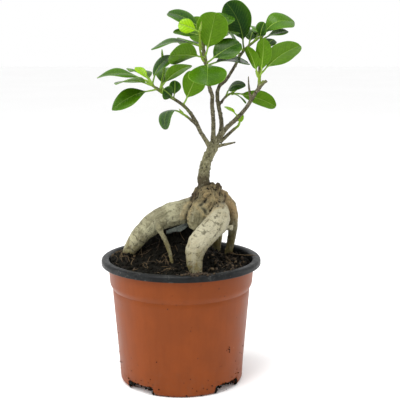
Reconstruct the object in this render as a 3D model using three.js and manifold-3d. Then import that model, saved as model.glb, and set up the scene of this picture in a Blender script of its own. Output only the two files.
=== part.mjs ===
// A ficus ginseng bonsai in a round nursery pot.
// Millimetres, +Z up, front towards -Y. The origin is the centre of the pot's base, on the
// surface that it stands on.
//
// The pot is one thermoformed shell with a turned-down lip, a stacking collar and four raised
// drain channels under its floor. The soil fills it and is heaped under the crown. The rootstock
// is the swollen ginseng root that stands on five legs in the soil, and the grafted top is the
// trunk with its branches. Every leaf is its own solid with its own stalk.
import * as THREE from "three";
import { mergeVertices } from "three/addons/utils/BufferGeometryUtils.js";
import Module from "manifold-3d";

const wasm = await Module();
wasm.setup();

// ---------------------------------------------------------------- driving dimensions

const FIT_GAP = 0.3; // between pieces that touch

const POT_SIDES = 48;
const POT_HEIGHT = 94.5;
const POT_WALL = 1.1;
const RIM_RADIUS = 60; // outside of the lip
const LIP_HEIGHT = 5.6;
const LIP_WIDTH = 5.2; // from the collar's outside to the lip's outside
const LIP_ROUND = 2.2;
const COLLAR_HEIGHT = 17; // from the shoulder up to the lip's top edge
const COLLAR_TAPER = 1; // how much narrower the collar is at its foot
const SHOULDER_HEIGHT = 4;
const SHOULDER_STEP = 1.9; // how far the wall steps in below the collar
const FOOT_RADIUS = 43.6; // where the base meets the rounded corner
const FOOT_ROUND = 3;
const CHANNELS = 4;
const CHANNEL_WIDTH = 25;
const CHANNEL_HEIGHT = 5;
const CHANNEL_TURN = 49; // degrees from the front to the first channel
const HUB_RADIUS = 13; // flat disc at the middle of the base
const DRAIN_RADIUS = 4;
const DRAIN_INSET = 10; // from the inside of the wall to a drain hole's centre

const SOIL_BELOW_RIM = 7; // at the right, where it lies lowest
const SOIL_TILT = 4; // how much higher it lies at the left
const MOUNDS = [
  { centre: [6, 12], height: 19, radius: 17 }, // under the crown
  { centre: [-16, 8], height: 11, radius: 20 }, // under the left leg
  { centre: [-45, 0], height: 4.5, radius: 9 }, // round the left leg's foot
];
const SOIL_ROUGHNESS = 0.8;

const LEAF_SCALE = 1; // of every leaf's length and width
const LEAF_THICKNESS = 0.7;
const STALK_RADIUS = 0.65;
const STALK_SHARE = 0.16; // of a leaf's length
const LEAF_STATIONS = 11;
const LEAF_FOLD = 14; // degrees that each half is raised from flat

// ---------------------------------------------------------------- solids and meshes

// The closed geometry as a manifold-3d solid.
function solid(geometry) {
  const bare = geometry.clone();
  bare.deleteAttribute("normal");
  bare.deleteAttribute("uv");
  const merged = mergeVertices(bare, 1e-3);
  return new wasm.Manifold(
    new wasm.Mesh({
      numProp: 3,
      vertProperties: new Float32Array(merged.attributes.position.array),
      triVerts: new Uint32Array(merged.index.array),
    }),
  );
}

// The solid as a three.js geometry with flat shading normals.
function geometryOf(body) {
  const mesh = body.getMesh();
  const geometry = new THREE.BufferGeometry();
  geometry.setAttribute("position", new THREE.BufferAttribute(mesh.vertProperties, 3));
  geometry.setIndex(new THREE.BufferAttribute(mesh.triVerts, 1));
  geometry.computeVertexNormals();
  return geometry;
}

const join = (bodies) => bodies.reduce((sum, body) => sum.add(body));

// A profile of [radius, height] pairs turned about Z.
function turned(profile, sides) {
  const points = profile.map(([r, z]) => new THREE.Vector2(r, z));
  return new THREE.LatheGeometry(points, sides).rotateX(Math.PI / 2);
}

// A quarter round from one end to the other about a corner, as [radius, height] pairs.
function arc(centreR, centreZ, radius, fromDegrees, toDegrees, steps = 3) {
  const points = [];
  for (let i = 0; i <= steps; i++) {
    const a = THREE.MathUtils.degToRad(fromDegrees + ((toDegrees - fromDegrees) * i) / steps);
    points.push([centreR + radius * Math.cos(a), centreZ + radius * Math.sin(a)]);
  }
  return points;
}

const material = (color, roughness) =>
  new THREE.MeshStandardMaterial({ color, roughness, metalness: 0 });

const potPlastic = material(0x97491f, 0.45);
const pottingSoil = material(0x1c1510, 0.95);
const rootBark = material(0xa39a78, 0.8);
const twigBark = material(0x6b6046, 0.85);
const matureLeaf = material(0x3f7d1a, 0.35);
const youngLeaf = material(0x8fc52a, 0.4);

const plant = new THREE.Group();

function place(name, geometry, finish) {
  const mesh = new THREE.Mesh(geometry, finish);
  mesh.name = name;
  plant.add(mesh);
}

// ---------------------------------------------------------------- pot

const COLLAR_RADIUS = RIM_RADIUS - LIP_WIDTH; // outside, under the lip
const SHOULDER_TOP = POT_HEIGHT - LIP_HEIGHT - COLLAR_HEIGHT + SHOULDER_HEIGHT;
const SHOULDER_FOOT = SHOULDER_TOP - SHOULDER_HEIGHT;
const WALL_TOP_RADIUS = COLLAR_RADIUS - COLLAR_TAPER - SHOULDER_STEP;
const WALL_FOOT_RADIUS = FOOT_RADIUS + FOOT_ROUND;

// The outside of the wall from the foot to the top of the collar, moved in by inset.
function wallLine(inset) {
  return [
    ...arc(FOOT_RADIUS, FOOT_ROUND, FOOT_ROUND - inset, -90, 0),
    [WALL_TOP_RADIUS - inset, SHOULDER_FOOT],
    [WALL_TOP_RADIUS + SHOULDER_STEP * 0.3 - inset, SHOULDER_FOOT + SHOULDER_HEIGHT * 0.3],
    [WALL_TOP_RADIUS + SHOULDER_STEP - inset, SHOULDER_TOP],
  ];
}

// The radius of the wall's outside at a height.
function wallRadius(z) {
  const line = wallLine(0);
  line.push([COLLAR_RADIUS, POT_HEIGHT - LIP_HEIGHT], [COLLAR_RADIUS, POT_HEIGHT]);
  const upper = line.findIndex(([, height]) => height >= z);
  const [r0, z0] = line[Math.max(upper - 1, 0)];
  const [r1, z1] = line[upper];
  return z1 === z0 ? r1 : r0 + ((r1 - r0) * (z - z0)) / (z1 - z0);
}

function potShell() {
  const lipInner = COLLAR_RADIUS + LIP_ROUND;
  const lipOuter = RIM_RADIUS - LIP_ROUND;
  const lipTop = POT_HEIGHT - LIP_ROUND;
  const under = LIP_ROUND - POT_WALL;
  const inside = wallLine(POT_WALL).reverse();
  return turned(
    [
      [0, 0],
      ...wallLine(0),
      [COLLAR_RADIUS, POT_HEIGHT - LIP_HEIGHT],
      ...arc(lipInner, lipTop, under, 180, 90, 2),
      ...arc(lipOuter, lipTop, under, 90, 0, 2),
      [RIM_RADIUS - POT_WALL, POT_HEIGHT - LIP_HEIGHT],
      [RIM_RADIUS, POT_HEIGHT - LIP_HEIGHT],
      ...arc(lipOuter, lipTop, LIP_ROUND, 0, 90),
      ...arc(COLLAR_RADIUS + LIP_ROUND - POT_WALL, lipTop, LIP_ROUND, 90, 180, 2),
      [COLLAR_RADIUS - POT_WALL, POT_HEIGHT - LIP_HEIGHT],
      ...inside,
      [0, POT_WALL],
    ],
    POT_SIDES,
  );
}

// The block of one drain channel, grown by a margin on its roof and sides.
function channelBlock(index, grow) {
  const reach = RIM_RADIUS + 5;
  const inner = HUB_RADIUS - grow;
  const height = CHANNEL_HEIGHT + grow + 1;
  const block = new THREE.BoxGeometry(CHANNEL_WIDTH + 2 * grow, reach - inner, height);
  block.translate(0, -(reach + inner) / 2, height / 2 - 1);
  const turn = CHANNEL_TURN + (index * 360) / CHANNELS;
  return block.rotateZ(THREE.MathUtils.degToRad(turn));
}

function drainHole(index) {
  const hole = new THREE.CylinderGeometry(DRAIN_RADIUS, DRAIN_RADIUS, 8, 12);
  const reach = FOOT_RADIUS - DRAIN_INSET;
  hole.rotateX(Math.PI / 2).translate(0, -reach, CHANNEL_HEIGHT);
  return hole.rotateZ(THREE.MathUtils.degToRad(CHANNEL_TURN + (index * 360) / CHANNELS));
}

const channelList = Array.from({ length: CHANNELS }, (_, index) => index);
const channels = (grow) => join(channelList.map((index) => solid(channelBlock(index, grow))));

function potSolid() {
  const filled = solid(turned([[0, 0], ...wallLine(0), [0, SHOULDER_TOP]], POT_SIDES));
  const roofs = channels(POT_WALL).intersect(filled);
  const drains = join(channelList.map((index) => solid(drainHole(index))));
  return solid(potShell()).add(roofs).subtract(channels(0)).subtract(drains);
}

// ---------------------------------------------------------------- roots, trunk and branches

// The plant's points are written for a pot with this much room inside its collar, with their
// heights above the lip. Another pot spreads and lifts the plant.
const ROOM_RADIUS = 53.7;
const spread = (COLLAR_RADIUS - POT_WALL) / ROOM_RADIUS;
const vector = ([x, y, z]) => new THREE.Vector3(x, y, z);
const planted = ([x, y, z]) => new THREE.Vector3(x * spread, y * spread, z + POT_HEIGHT);

// A tapered round limb through points, with one radius for each point. A closed cylinder's
// vertices are carried along the curve. grow adds to the radii and to both ends.
function limb({ points, radii, sides, steps }, grow = 0) {
  const curve = new THREE.CatmullRomCurve3(points.map(planted), false, "centripetal");
  const count = steps ?? Math.round((points.length - 1) * 1.4);
  const frames = curve.computeFrenetFrames(count, false);
  const geometry = new THREE.CylinderGeometry(1, 1, 1, sides, count);
  const position = geometry.attributes.position;
  for (let i = 0; i < position.count; i++) {
    const ring = Math.round((position.getY(i) + 0.5) * count);
    const along = ring / count;
    const t = curve.getUtoTmapping(along) * (radii.length - 1);
    const k = Math.min(Math.floor(t), radii.length - 2);
    const radius = THREE.MathUtils.lerp(radii[k], radii[k + 1], t - k) + grow;
    const end = ring === 0 ? -grow : ring === count ? grow : 0;
    const point = curve
      .getPointAt(along)
      .addScaledVector(frames.tangents[ring], end)
      .addScaledVector(frames.binormals[ring], position.getX(i) * radius)
      .addScaledVector(frames.normals[ring], position.getZ(i) * radius);
    position.setXYZ(i, point.x, point.y, point.z);
  }
  return geometry;
}

// Where the trunk is grafted on the root's crown.
const GRAFT = [17, 3, 53.5];

const ROOTS = {
  crown: {
    points: [[19, 2, 23.5], [20, 3, 33.5], [19, 3, 43.5], [18.5, 3, 49.5], GRAFT],
    radii: [8, 12.5, 12.6, 9.8, 7],
    sides: 12,
  },
  left_leg: {
    points: [[16, 3, 39.5], [1, 2, 33.5], [-10, 0, 31.5], [-20, -2, 26.5], [-29, -3, 18.5],
      [-36, -3, 9.5], [-41, -1, 1.5], [-43, 3, -8.5], [-44, 7, -18.5]],
    radii: [9, 9, 9.2, 8.6, 7.2, 5.8, 4.4, 3.4, 2.6],
    sides: 12,
  },
  strut: {
    points: [[-18, -7, 27.5], [-15, -10, 21.5], [-12.6, -11, 17.5], [-10.3, -12, 12.5], [-8, -13, 5.5],
      [-6, -14, -4.5]],
    radii: [3.4, 2.2, 1.9, 1.8, 1.7, 1.5],
    sides: 8,
  },
  belly: {
    points: [[19, 0, 41.5], [14.5, -5, 32.5], [11.5, -7, 25.5], [9.5, -8, 22]],
    radii: [9, 10.5, 8.2, 4],
    sides: 10,
  },
  shoulder: {
    points: [[21, 2, 44.5], [27.5, 0, 37.5], [29.5, 0, 27.5]], radii: [8, 8.4, 5], sides: 10,
  },
  front_leg: {
    points: [[28, 2, 36.5], [28.5, -9, 32.5], [25.5, -16, 27.5], [19.5, -22, 22.5], [12.5, -27.5, 15.5],
      [9.8, -31, 6.5], [11, -33, -0.5], [12.5, -34, -6.5], [13, -33, -16.5]],
    radii: [7, 8.4, 8.6, 8.4, 8, 6.7, 5.2, 3.8, 3],
    sides: 12,
  },
  right_leg: {
    points: [[24, 3, 47.5], [33, 8, 43.5], [39, 12.5, 33.5], [39.5, 18, 17.5], [38, 24, 4.5],
      [36, 27, -5.5], [35, 28, -16.5]],
    radii: [5.8, 4.9, 4.1, 3.6, 3.2, 2.8, 2.4],
    sides: 10,
  },
  back_leg: {
    points: [[20, 6, 37.5], [23, 20, 29.5], [26.5, 31, 15.5], [27, 36, 1.5], [27, 37, -14.5]],
    radii: [9, 7.6, 6, 4.4, 3],
    sides: 10,
  },
  nub: { points: [[31, -9, 24], [38.5, -7, 23.5]], radii: [2, 2.3], sides: 7 },
  left_scar: { points: [[15, 1, 46.5], [9.5, -2, 46]], radii: [4.8, 3.2], sides: 8 },
  right_scar: { points: [[22, 1, 49], [30, 0, 54]], radii: [4.6, 2.6], sides: 8 },
};

const TWIG_SIDES = 6;

const BRANCHES = {
  trunk: {
    points: [[17.4, 3, 48.5], [16.8, 2, 59.5], [17.6, 1, 66], [18.6, 0, 71.5], [21.2, 0, 77.5],
      [23.7, 0, 82.5], [26, 0.5, 87.5]],
    radii: [4.5, 4.4, 4, 3.7, 3.6, 4.1, 2.6],
    sides: 10,
  },
  left: {
    points: [[23, 0, 80.5], [19, -1, 87.5], [14, -3, 95.5], [12, -4, 100.5], [8, -5, 107.5],
      [3, -6, 113.5], [-4, -7, 118.5], [-13, -8, 123.5], [-17, -9, 126.5], [-22, -10, 130.5]],
    radii: [2.4, 1.7, 1.5, 1.6, 1.3, 1.2, 1.1, 1.1, 1, 0.8],
  },
  left_twin: { points: [[12, -4, 99.5], [7, -8, 104.5], [2, -11, 108.5]], radii: [1.2, 0.9, 0.8] },
  middle: {
    points: [[24, 0, 81.5], [24, -1, 91.5], [24, -3, 103.5], [23, -6, 113.5], [23, -9, 122.5],
      [20, -11, 130.5], [19, -12, 139.5], [18, -11, 149.5], [16, -8, 159.5], [17, -8, 167.5]],
    radii: [2.6, 1.7, 1.5, 1.5, 1.4, 1.3, 1.2, 1.1, 0.9, 0.7],
  },
  right_fork: {
    points: [[25, 0.5, 83.5], [28, 3, 89.5], [30, 5, 94.5], [30, 8, 102.5], [28, 11, 112.5],
      [27, 14, 121.5], [28, 16, 126.5], [32, 16, 129.5], [37, 15, 136.5], [41, 14, 143.5],
      [45, 13, 151.5], [50, 12, 156.5], [55, 12, 160.5]],
    radii: [2.8, 2.4, 1.8, 1.6, 1.5, 1.5, 1.5, 1.3, 1.2, 1.1, 1.1, 1, 0.8],
  },
  right: {
    points: [[28, 3, 88.5], [33, 0, 96.5], [37, -2, 100.5], [40, -4, 103.5], [47, -7, 111.5],
      [52, -9, 119.5], [56, -10, 126.5], [62, -11, 132.5]],
    radii: [2, 1.8, 1.6, 1.6, 1.4, 1.4, 1.4, 1],
  },
  right_upper: {
    points: [[56, -10, 124.5], [57, -9, 130.5], [57, -7, 138.5], [58, -5, 150.5], [58, -4, 162.5]],
    radii: [1.3, 1.2, 1, 0.9, 0.7],
  },
  rear: {
    points: [[29, 2, 86.5], [35, 6, 91.5], [40, 10, 95.5], [43, 13, 97.5]], radii: [1.6, 1.2, 1.1, 0.9],
  },
  stub: { points: [[26, -1, 83.5], [33, -4, 85.5], [40, -8, 87.5]], radii: [1.4, 0.9, 0.6] },
  side_twig: {
    points: [[28, 11, 112.5], [31, 13, 116.5], [34, 16, 119.5], [38, 18, 121.5]],
    radii: [1.1, 0.9, 0.8, 0.7],
  },
  thorn: { points: [[51, -8.5, 118.5], [49.5, -9, 127.5], [49, -10, 135.5]], radii: [1, 0.7, 0.3] },
  fork_spur: { points: [[26.4, -1.5, 84.5], [26.2, -2.4, 91]], radii: [0.9, 0.4] },
  cut_stub: { points: [[57, -10, 126.5], [60, -10, 132.5]], radii: [1.1, 0.9] },
  young_shoot: {
    points: [[19, -12, 143.5], [15, -16, 149.5], [14, -18, 159.5], [14, -18, 167.5]],
    radii: [0.8, 0.7, 0.7, 0.6],
  },
  crown_back: { points: [[19, -12, 141.5], [17, -2, 148.5], [16, 8, 154.5]], radii: [1, 0.9, 0.7] },
};

const limbsOf = (limbs, grow) =>
  join(Object.values(limbs).map((one) => solid(limb({ sides: TWIG_SIDES, ...one }, grow))));

// How far a point is outside the wood of the branches, from the limbs' own lines.
const woodLines = Object.values(BRANCHES).map(({ points, radii }) => {
  const curve = new THREE.CatmullRomCurve3(points.map(planted), false, "centripetal");
  const samples = (points.length - 1) * 8;
  return curve.getPoints(samples).map((point, i) => {
    const t = (i / samples) * (radii.length - 1);
    const k = Math.min(Math.floor(t), radii.length - 2);
    return { point, radius: THREE.MathUtils.lerp(radii[k], radii[k + 1], t - k) };
  });
});

function outsideWood(place3) {
  const gaps = woodLines.flat().map(({ point, radius }) => point.distanceTo(place3) - radius);
  return Math.min(...gaps);
}

// ---------------------------------------------------------------- soil

// The soil's surface: a tilted bed with its mounds.
function soilHeight(x, y) {
  const low = POT_HEIGHT - SOIL_BELOW_RIM;
  const tilt = (SOIL_TILT * (COLLAR_RADIUS - x)) / (2 * COLLAR_RADIUS);
  const heaped = ({ centre: [mx, my], height, radius }) =>
    height * Math.exp(-((x - mx * spread) ** 2 + (y - my * spread) ** 2) / radius ** 2);
  const mound = MOUNDS.reduce((sum, one) => sum + heaped(one), 0);
  const rough = Math.sin(0.31 * x + 1.3) * Math.cos(0.27 * y) + Math.sin(0.17 * (x + 2 * y));
  return low + tilt + mound + (SOIL_ROUGHNESS * rough) / 2;
}

function soilSolid(roots) {
  const inset = POT_WALL + FIT_GAP;
  const topRadius = wallRadius(POT_HEIGHT - SOIL_BELOW_RIM) - inset;
  const rings = [0.93, 0.82, 0.69, 0.56, 0.43, 0.3, 0.16];
  const bed = turned(
    [
      [0, POT_WALL + FIT_GAP],
      ...wallLine(inset),
      [topRadius, POT_HEIGHT - SOIL_BELOW_RIM],
      ...rings.map((share) => [topRadius * share, POT_HEIGHT]),
      [0, POT_HEIGHT],
    ],
    POT_SIDES,
  );
  const position = bed.attributes.position;
  for (let i = 0; i < position.count; i++) {
    const [x, y, z] = [position.getX(i), position.getY(i), position.getZ(i)];
    if (z > SHOULDER_TOP + 1e-3) position.setZ(i, soilHeight(x, y));
  }
  return solid(bed).subtract(channels(POT_WALL + FIT_GAP)).subtract(roots);
}

// ---------------------------------------------------------------- leaves

// Half of the blade's width at a share of its length, as a share of its greatest half width.
// Broadest past the middle, with a blunt end and a narrow foot.
const outline = (share) => Math.pow(Math.sin(Math.PI * Math.pow(share, 1.2)), 0.72);

// One leaf from its foot to its tip. face is the way the upper side looks, bend is how far the
// middle is arched towards it and sway how far it is bowed sideways, both as a share of the
// length, and twist is in degrees from foot to tip. A closed sphere's rings of four become the
// left edge, top, right edge and underside.
function leafGeometry({ foot, tip, width, face, bend = 0.1, sway = 0, twist = 0 }) {
  const start = planted(foot);
  const reach = planted(tip).sub(start).multiplyScalar(LEAF_SCALE);
  const length = reach.length();
  const axis = reach.clone().normalize();
  const up = vector(face);
  up.addScaledVector(axis, -up.dot(axis)).normalize();

  const bow = up.clone().multiplyScalar(bend * length);
  bow.addScaledVector(new THREE.Vector3().crossVectors(up, axis), sway * length);
  const middle = (t) =>
    start.clone().addScaledVector(reach, t).addScaledVector(bow, 4 * t * (1 - t));
  let begin = 0;
  while (begin < 0.4 && outsideWood(middle(begin)) < FIT_GAP) begin += 0.005;

  const geometry = new THREE.SphereGeometry(1, 4, LEAF_STATIONS);
  const position = geometry.attributes.position;
  const raise = Math.tan(THREE.MathUtils.degToRad(LEAF_FOLD));
  for (let i = 0; i < position.count; i++) {
    const station = Math.floor(i / 5) / LEAF_STATIONS;
    const corner = i % 5;
    const t = begin + (1 - begin) * station;
    const along = reach.clone().addScaledVector(bow, 4 * (1 - 2 * t)).normalize();
    const side = new THREE.Vector3().crossVectors(up, along).normalize();
    side.applyAxisAngle(along, THREE.MathUtils.degToRad(twist * (t - 0.5)));
    const normal = new THREE.Vector3().crossVectors(along, side);
    const blade = Math.max(0, (station - STALK_SHARE) / (1 - STALK_SHARE));
    const ended = station === 0 || station === 1 ? 0 : 1;
    const half = ended * Math.max((width * LEAF_SCALE * outline(blade)) / 2, STALK_RADIUS);
    const rib = ended * THREE.MathUtils.lerp(STALK_RADIUS, LEAF_THICKNESS / 2, Math.min(1, 2 * blade));
    const lift = Math.max(0, half - STALK_RADIUS) * raise;
    const point = middle(t);
    if (corner === 1) point.addScaledVector(normal, rib);
    else if (corner === 3) point.addScaledVector(normal, -rib);
    else point.addScaledVector(side, corner === 2 ? half : -half).addScaledVector(normal, lift);
    position.setXYZ(i, point.x, point.y, point.z);
  }
  return geometry;
}

// Each leaf's foot is on the middle line of its twig.
const LEAVES = {
  // the end of the left branch
  leaf_left_far: {
    foot: [-22, -10, 130.5], tip: [-59.5, -15, 134.5], width: 13, face: [0, -0.3, 1], bend: 0.14,
  },
  leaf_left_broad: {
    foot: [-19, -10, 127.5], tip: [-45, -26, 130.5], width: 18,
    face: [-0.1, 0.3, 1], bend: 0.13, twist: -15,
  },
  leaf_left_drooping: {
    foot: [-17, -9, 125.5], tip: [-48.5, -22, 112], width: 15, face: [-0.4, -0.9, 0.9], bend: 0.12,
  },
  young_leaf_left_bud: { foot: [-22, -9, 131.5], tip: [-33, 0, 141.5], width: 6, face: [0, -0.6, 1] },
  leaf_left_cupped: {
    foot: [-20, -9, 129.5], tip: [-6, -4, 149.5], width: 13, face: [-0.8, -0.6, 0.4], bend: 0.16,
  },
  leaf_left_inner: {
    foot: [-15, -8, 125.5], tip: [8, -16, 143.5], width: 13, face: [-0.4, 0.6, 0.8], bend: 0.13,
  },
  young_leaf_left_spear: {
    foot: [-15, -8, 125.5], tip: [-13.5, 3, 154.5], width: 5, face: [1, -0.3, 0.2], bend: 0.06,
  },
  leaf_left_round: {
    foot: [-5, -7, 119], tip: [-12, -16, 126.5], width: 9, face: [-0.3, -0.9, 0.5],
  },
  leaf_left_round_upper: {
    foot: [-5, -7, 119], tip: [-4, -8, 132.5], width: 8.5, face: [0.3, -0.9, 0.3],
  },
  leaf_left_rising: {
    foot: [2, -6, 114], tip: [13, -14, 139.5], width: 16, face: [0.3, 0.9, 0.35], bend: 0.06,
  },
  leaf_left_hanging: {
    foot: [2, -11, 108.5], tip: [-10.5, -20, 98], width: 11.5, face: [-0.8, -0.5, 0.6], bend: 0.5,
  },
  leaf_left_rear: {
    foot: [-20, -9, 129.5], tip: [-38, 18, 137.5], width: 16, face: [0, 0.2, 1], bend: 0.14,
  },
  leaf_left_rear_upper: {
    foot: [-14, -8, 124.5], tip: [-8, 21, 140.5], width: 16, face: [-0.1, -0.3, 1], bend: 0.12,
  },

  // round the top of the middle branch
  leaf_middle_upright: {
    foot: [18, -12, 148.5], tip: [25, -20, 180.5], width: 23, face: [0.1, 1, 0.15], bend: 0.06,
  },
  leaf_middle_front: {
    foot: [20, -12, 143.5], tip: [19, -48, 131], width: 25, face: [0, -0.45, 0.9], bend: 0.13,
  },
  leaf_middle_left: {
    foot: [18, -12, 148.5], tip: [-7, -27, 150.5], width: 20, face: [0, 0.8, 0.7], bend: 0.08,
  },
  leaf_middle_left_upper: {
    foot: [17, -9, 155.5], tip: [-21, -7, 154.5], width: 14, face: [0, -0.15, 1], bend: 0.13,
  },
  leaf_top_left: {
    foot: [17, -8, 166.5], tip: [-9, 1, 180.5], width: 16, face: [0.3, -0.6, 0.8], bend: 0.1,
  },
  leaf_top_small: {
    foot: [16, -8, 163.5], tip: [-5, -8, 166.5], width: 9, face: [0, -0.6, 0.8], bend: 0.08,
  },
  young_leaf_top: { foot: [14, -18, 166.5], tip: [-1, -20, 172.5], width: 11, face: [-0.2, -0.8, 0.5] },
  leaf_top_right: {
    foot: [17, -8, 165.5], tip: [38, 4, 177.5], width: 16, face: [-0.2, -0.7, 0.8], bend: 0.12,
  },
  leaf_middle_right: {
    foot: [19, -12, 144.5], tip: [43, -5, 159], width: 18, face: [-0.3, -0.8, 0.6], bend: 0.08,
  },
  leaf_middle_right_upper: {
    foot: [17, -9, 157.5], tip: [43, 6, 165.5], width: 14, face: [0, 0.1, 1], bend: 0.12,
  },
  leaf_middle_right_lower: {
    foot: [18.5, -12, 142.5], tip: [50, 8, 144], width: 15, face: [0, -0.4, 0.95], bend: 0.11,
  },
  leaf_middle_rear: {
    foot: [16, 8, 154.5], tip: [0, 36, 157.5], width: 17, face: [0, 0.2, 1], bend: 0.12,
  },
  leaf_middle_rear_right: {
    foot: [16, 8, 154.5], tip: [32, 34, 164.5], width: 17, face: [0, -0.2, 1], bend: 0.12,
  },
  leaf_middle_rear_upper: {
    foot: [16, 7, 154], tip: [8, 20, 177.5], width: 17, face: [0.2, 0.9, 0.5], bend: 0.1,
  },

  // the end of the long right-hand fork
  leaf_fork_tall: {
    foot: [46, 13, 152.5], tip: [31.5, 8, 187], width: 22, face: [0, -1, 0.3], bend: 0.05, sway: -0.1,
  },
  young_leaf_fork: { foot: [46, 13, 153], tip: [32, -1, 160], width: 9, face: [0, -0.7, 0.8] },
  leaf_fork_rear: {
    foot: [50, 12, 156.5], tip: [55, 30, 168.5], width: 15, face: [0, -0.6, 0.8], bend: 0.1,
  },
  leaf_fork_small: {
    foot: [43, 13.5, 148.5], tip: [31, 24, 167.5], width: 9, face: [-0.2, 0.3, 1], bend: 0.14,
  },
  leaf_fork_end: {
    foot: [55, 12, 160.5], tip: [66, 38, 167.5], width: 16, face: [0, 0, 1], bend: 0.12,
  },

  // the upright twig of the right branch
  leaf_right_broad: {
    foot: [57.5, -8, 135.5], tip: [85.5, -14, 157.5], width: 18, face: [-0.6, 0.8, 0.5], bend: 0.12,
  },
  leaf_right_narrow: {
    foot: [58, -9, 135.5], tip: [60.5, -13, 163], width: 12, face: [0.4, 0.9, 0.1], bend: 0.04,
  },
  leaf_right_inner: {
    foot: [56, -8, 134.5], tip: [48, -6, 156.5], width: 12, face: [0.7, 0.6, 0.4], bend: 0.06,
  },
  leaf_right_top: {
    foot: [58.5, -4, 161.5], tip: [82.3, -3, 173.5], width: 20, face: [-0.2, -0.6, 0.75], bend: 0.3,
  },
  leaf_right_top_lower: {
    foot: [58, -4, 160.5], tip: [77.5, -9, 167], width: 11, face: [0.1, -0.4, 0.9], bend: 0.1,
  },
  leaf_right_round: {
    foot: [58, -4, 161.5], tip: [60, -13, 173.5], width: 10, face: [-0.2, -0.8, 0.6],
  },
  leaf_right_small: { foot: [58, -5, 152.5], tip: [68, 3, 161.5], width: 10, face: [0, -0.6, 0.8] },
  leaf_right_rear: {
    foot: [58, -4, 161.5], tip: [56, 24, 163.5], width: 16, face: [0, 0, 1], bend: 0.12,
  },
  leaf_right_rear_lower: {
    foot: [57, -7, 139.5], tip: [66, 20, 146.5], width: 17, face: [0, 0, 1], bend: 0.14,
  },

  // the low side twig and the right branch itself
  leaf_low_dark: {
    foot: [34, 16, 119.5], tip: [48, 8, 127.5], width: 12, face: [0, -0.5, 0.9], bend: 0.26,
  },
  leaf_low_long: {
    foot: [38, 18, 121.5], tip: [71, 12, 112], width: 12.5, face: [0.2, 0.9, 0.5], bend: 0.12,
  },
  leaf_low_hanging: { foot: [38, 18, 121.5], tip: [48, 9, 114.5], width: 7, face: [0, 0.4, 0.9] },
  young_leaf_low: { foot: [42, -5, 105.5], tip: [32, -9, 113.5], width: 6, face: [0, 0.3, 1] },
  young_leaf_rear: { foot: [43, 13, 97.5], tip: [46, 10, 106.5], width: 4, face: [0, -0.9, 0.5] },
};

// A leaf grown towards its tip, and turned aside a little at a time where it meets the wood or a
// leaf that grew before it.
function growLeaf(plan, grown) {
  const turns = [0];
  for (let angle = 4; angle <= 32; angle += 4) turns.push(angle, -angle);
  const reach = vector(plan.tip).sub(vector(plan.foot));
  const up = vector(plan.face).normalize();
  const side = new THREE.Vector3().crossVectors(up, reach).normalize();
  for (const pitch of turns)
    for (const yaw of turns.filter((angle) => Math.abs(angle) <= Math.abs(pitch))) {
      const turn = new THREE.Quaternion()
        .setFromAxisAngle(side, THREE.MathUtils.degToRad(pitch))
        .multiply(new THREE.Quaternion().setFromAxisAngle(up, THREE.MathUtils.degToRad(yaw)));
      const tip = vector(plan.foot).add(reach.clone().applyQuaternion(turn)).toArray();
      const face = up.clone().applyQuaternion(turn).toArray();
      const geometry = leafGeometry({ ...plan, tip, face });
      const body = solid(geometry);
      if (grown.every((other) => body.intersect(other).volume() === 0)) return { geometry, body };
    }
  throw new Error("a leaf has no room");
}

// ---------------------------------------------------------------- the whole plant

const rootstock = limbsOf(ROOTS, 0);
const graftedTop = limbsOf(BRANCHES, 0).subtract(limbsOf(ROOTS, FIT_GAP));

place("pot", geometryOf(potSolid()), potPlastic);
place("soil", geometryOf(soilSolid(limbsOf(ROOTS, FIT_GAP))), pottingSoil);
place("rootstock", geometryOf(rootstock), rootBark);
place("grafted_top", geometryOf(graftedTop), twigBark);

const grown = [graftedTop];
for (const [name, plan] of Object.entries(LEAVES)) {
  const { geometry, body } = growLeaf(plan, grown);
  grown.push(body);
  place(name, geometry, name.startsWith("young") ? youngLeaf : matureLeaf);
}

export default plant;
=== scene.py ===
"""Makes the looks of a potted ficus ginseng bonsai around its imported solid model.

Metres, +Z up, front towards -Y. The pot, the roots, the branches and every leaf are made again in
detail from the solids' own places, and the soil's solid gets a crust of crumbs, bark and fibres.
"""

import math
from itertools import permutations
from random import Random

import bmesh
import bpy
import numpy as np
from bpy.props import (FloatProperty, FloatVectorProperty, IntProperty, PointerProperty)
from mathutils import Matrix, Vector, noise
from mathutils.bvhtree import BVHTree
from mathutils.kdtree import KDTree


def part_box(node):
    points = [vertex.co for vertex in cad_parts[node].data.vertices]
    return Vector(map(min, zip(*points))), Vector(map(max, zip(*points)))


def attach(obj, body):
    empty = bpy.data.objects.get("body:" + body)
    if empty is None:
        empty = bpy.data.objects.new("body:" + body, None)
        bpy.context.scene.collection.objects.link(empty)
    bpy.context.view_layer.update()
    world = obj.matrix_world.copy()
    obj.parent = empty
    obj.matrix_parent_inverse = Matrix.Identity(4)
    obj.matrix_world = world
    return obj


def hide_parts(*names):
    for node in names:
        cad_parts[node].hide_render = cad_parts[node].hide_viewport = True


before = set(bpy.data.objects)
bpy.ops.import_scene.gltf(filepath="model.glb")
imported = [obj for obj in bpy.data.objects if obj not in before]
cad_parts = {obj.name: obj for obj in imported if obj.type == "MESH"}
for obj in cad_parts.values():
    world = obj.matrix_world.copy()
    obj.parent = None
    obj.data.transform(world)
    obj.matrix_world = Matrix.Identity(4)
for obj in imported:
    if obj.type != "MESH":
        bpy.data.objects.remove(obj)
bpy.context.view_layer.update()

bl_info = {
    "name": "Potted Ficus Bonsai",
    "version": (1, 0, 0),
    "blender": (4, 5, 0),
    "location": "View3D > Sidebar > Bonsai",
    "description": "Makes a ficus bonsai's pot, soil, roots, branches and leaves in detail",
    "category": "Object",
}

MM = 0.001
WELD = 0.001 * MM

# ---------------------------------------------------------------- places on the plant, in mm

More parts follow.
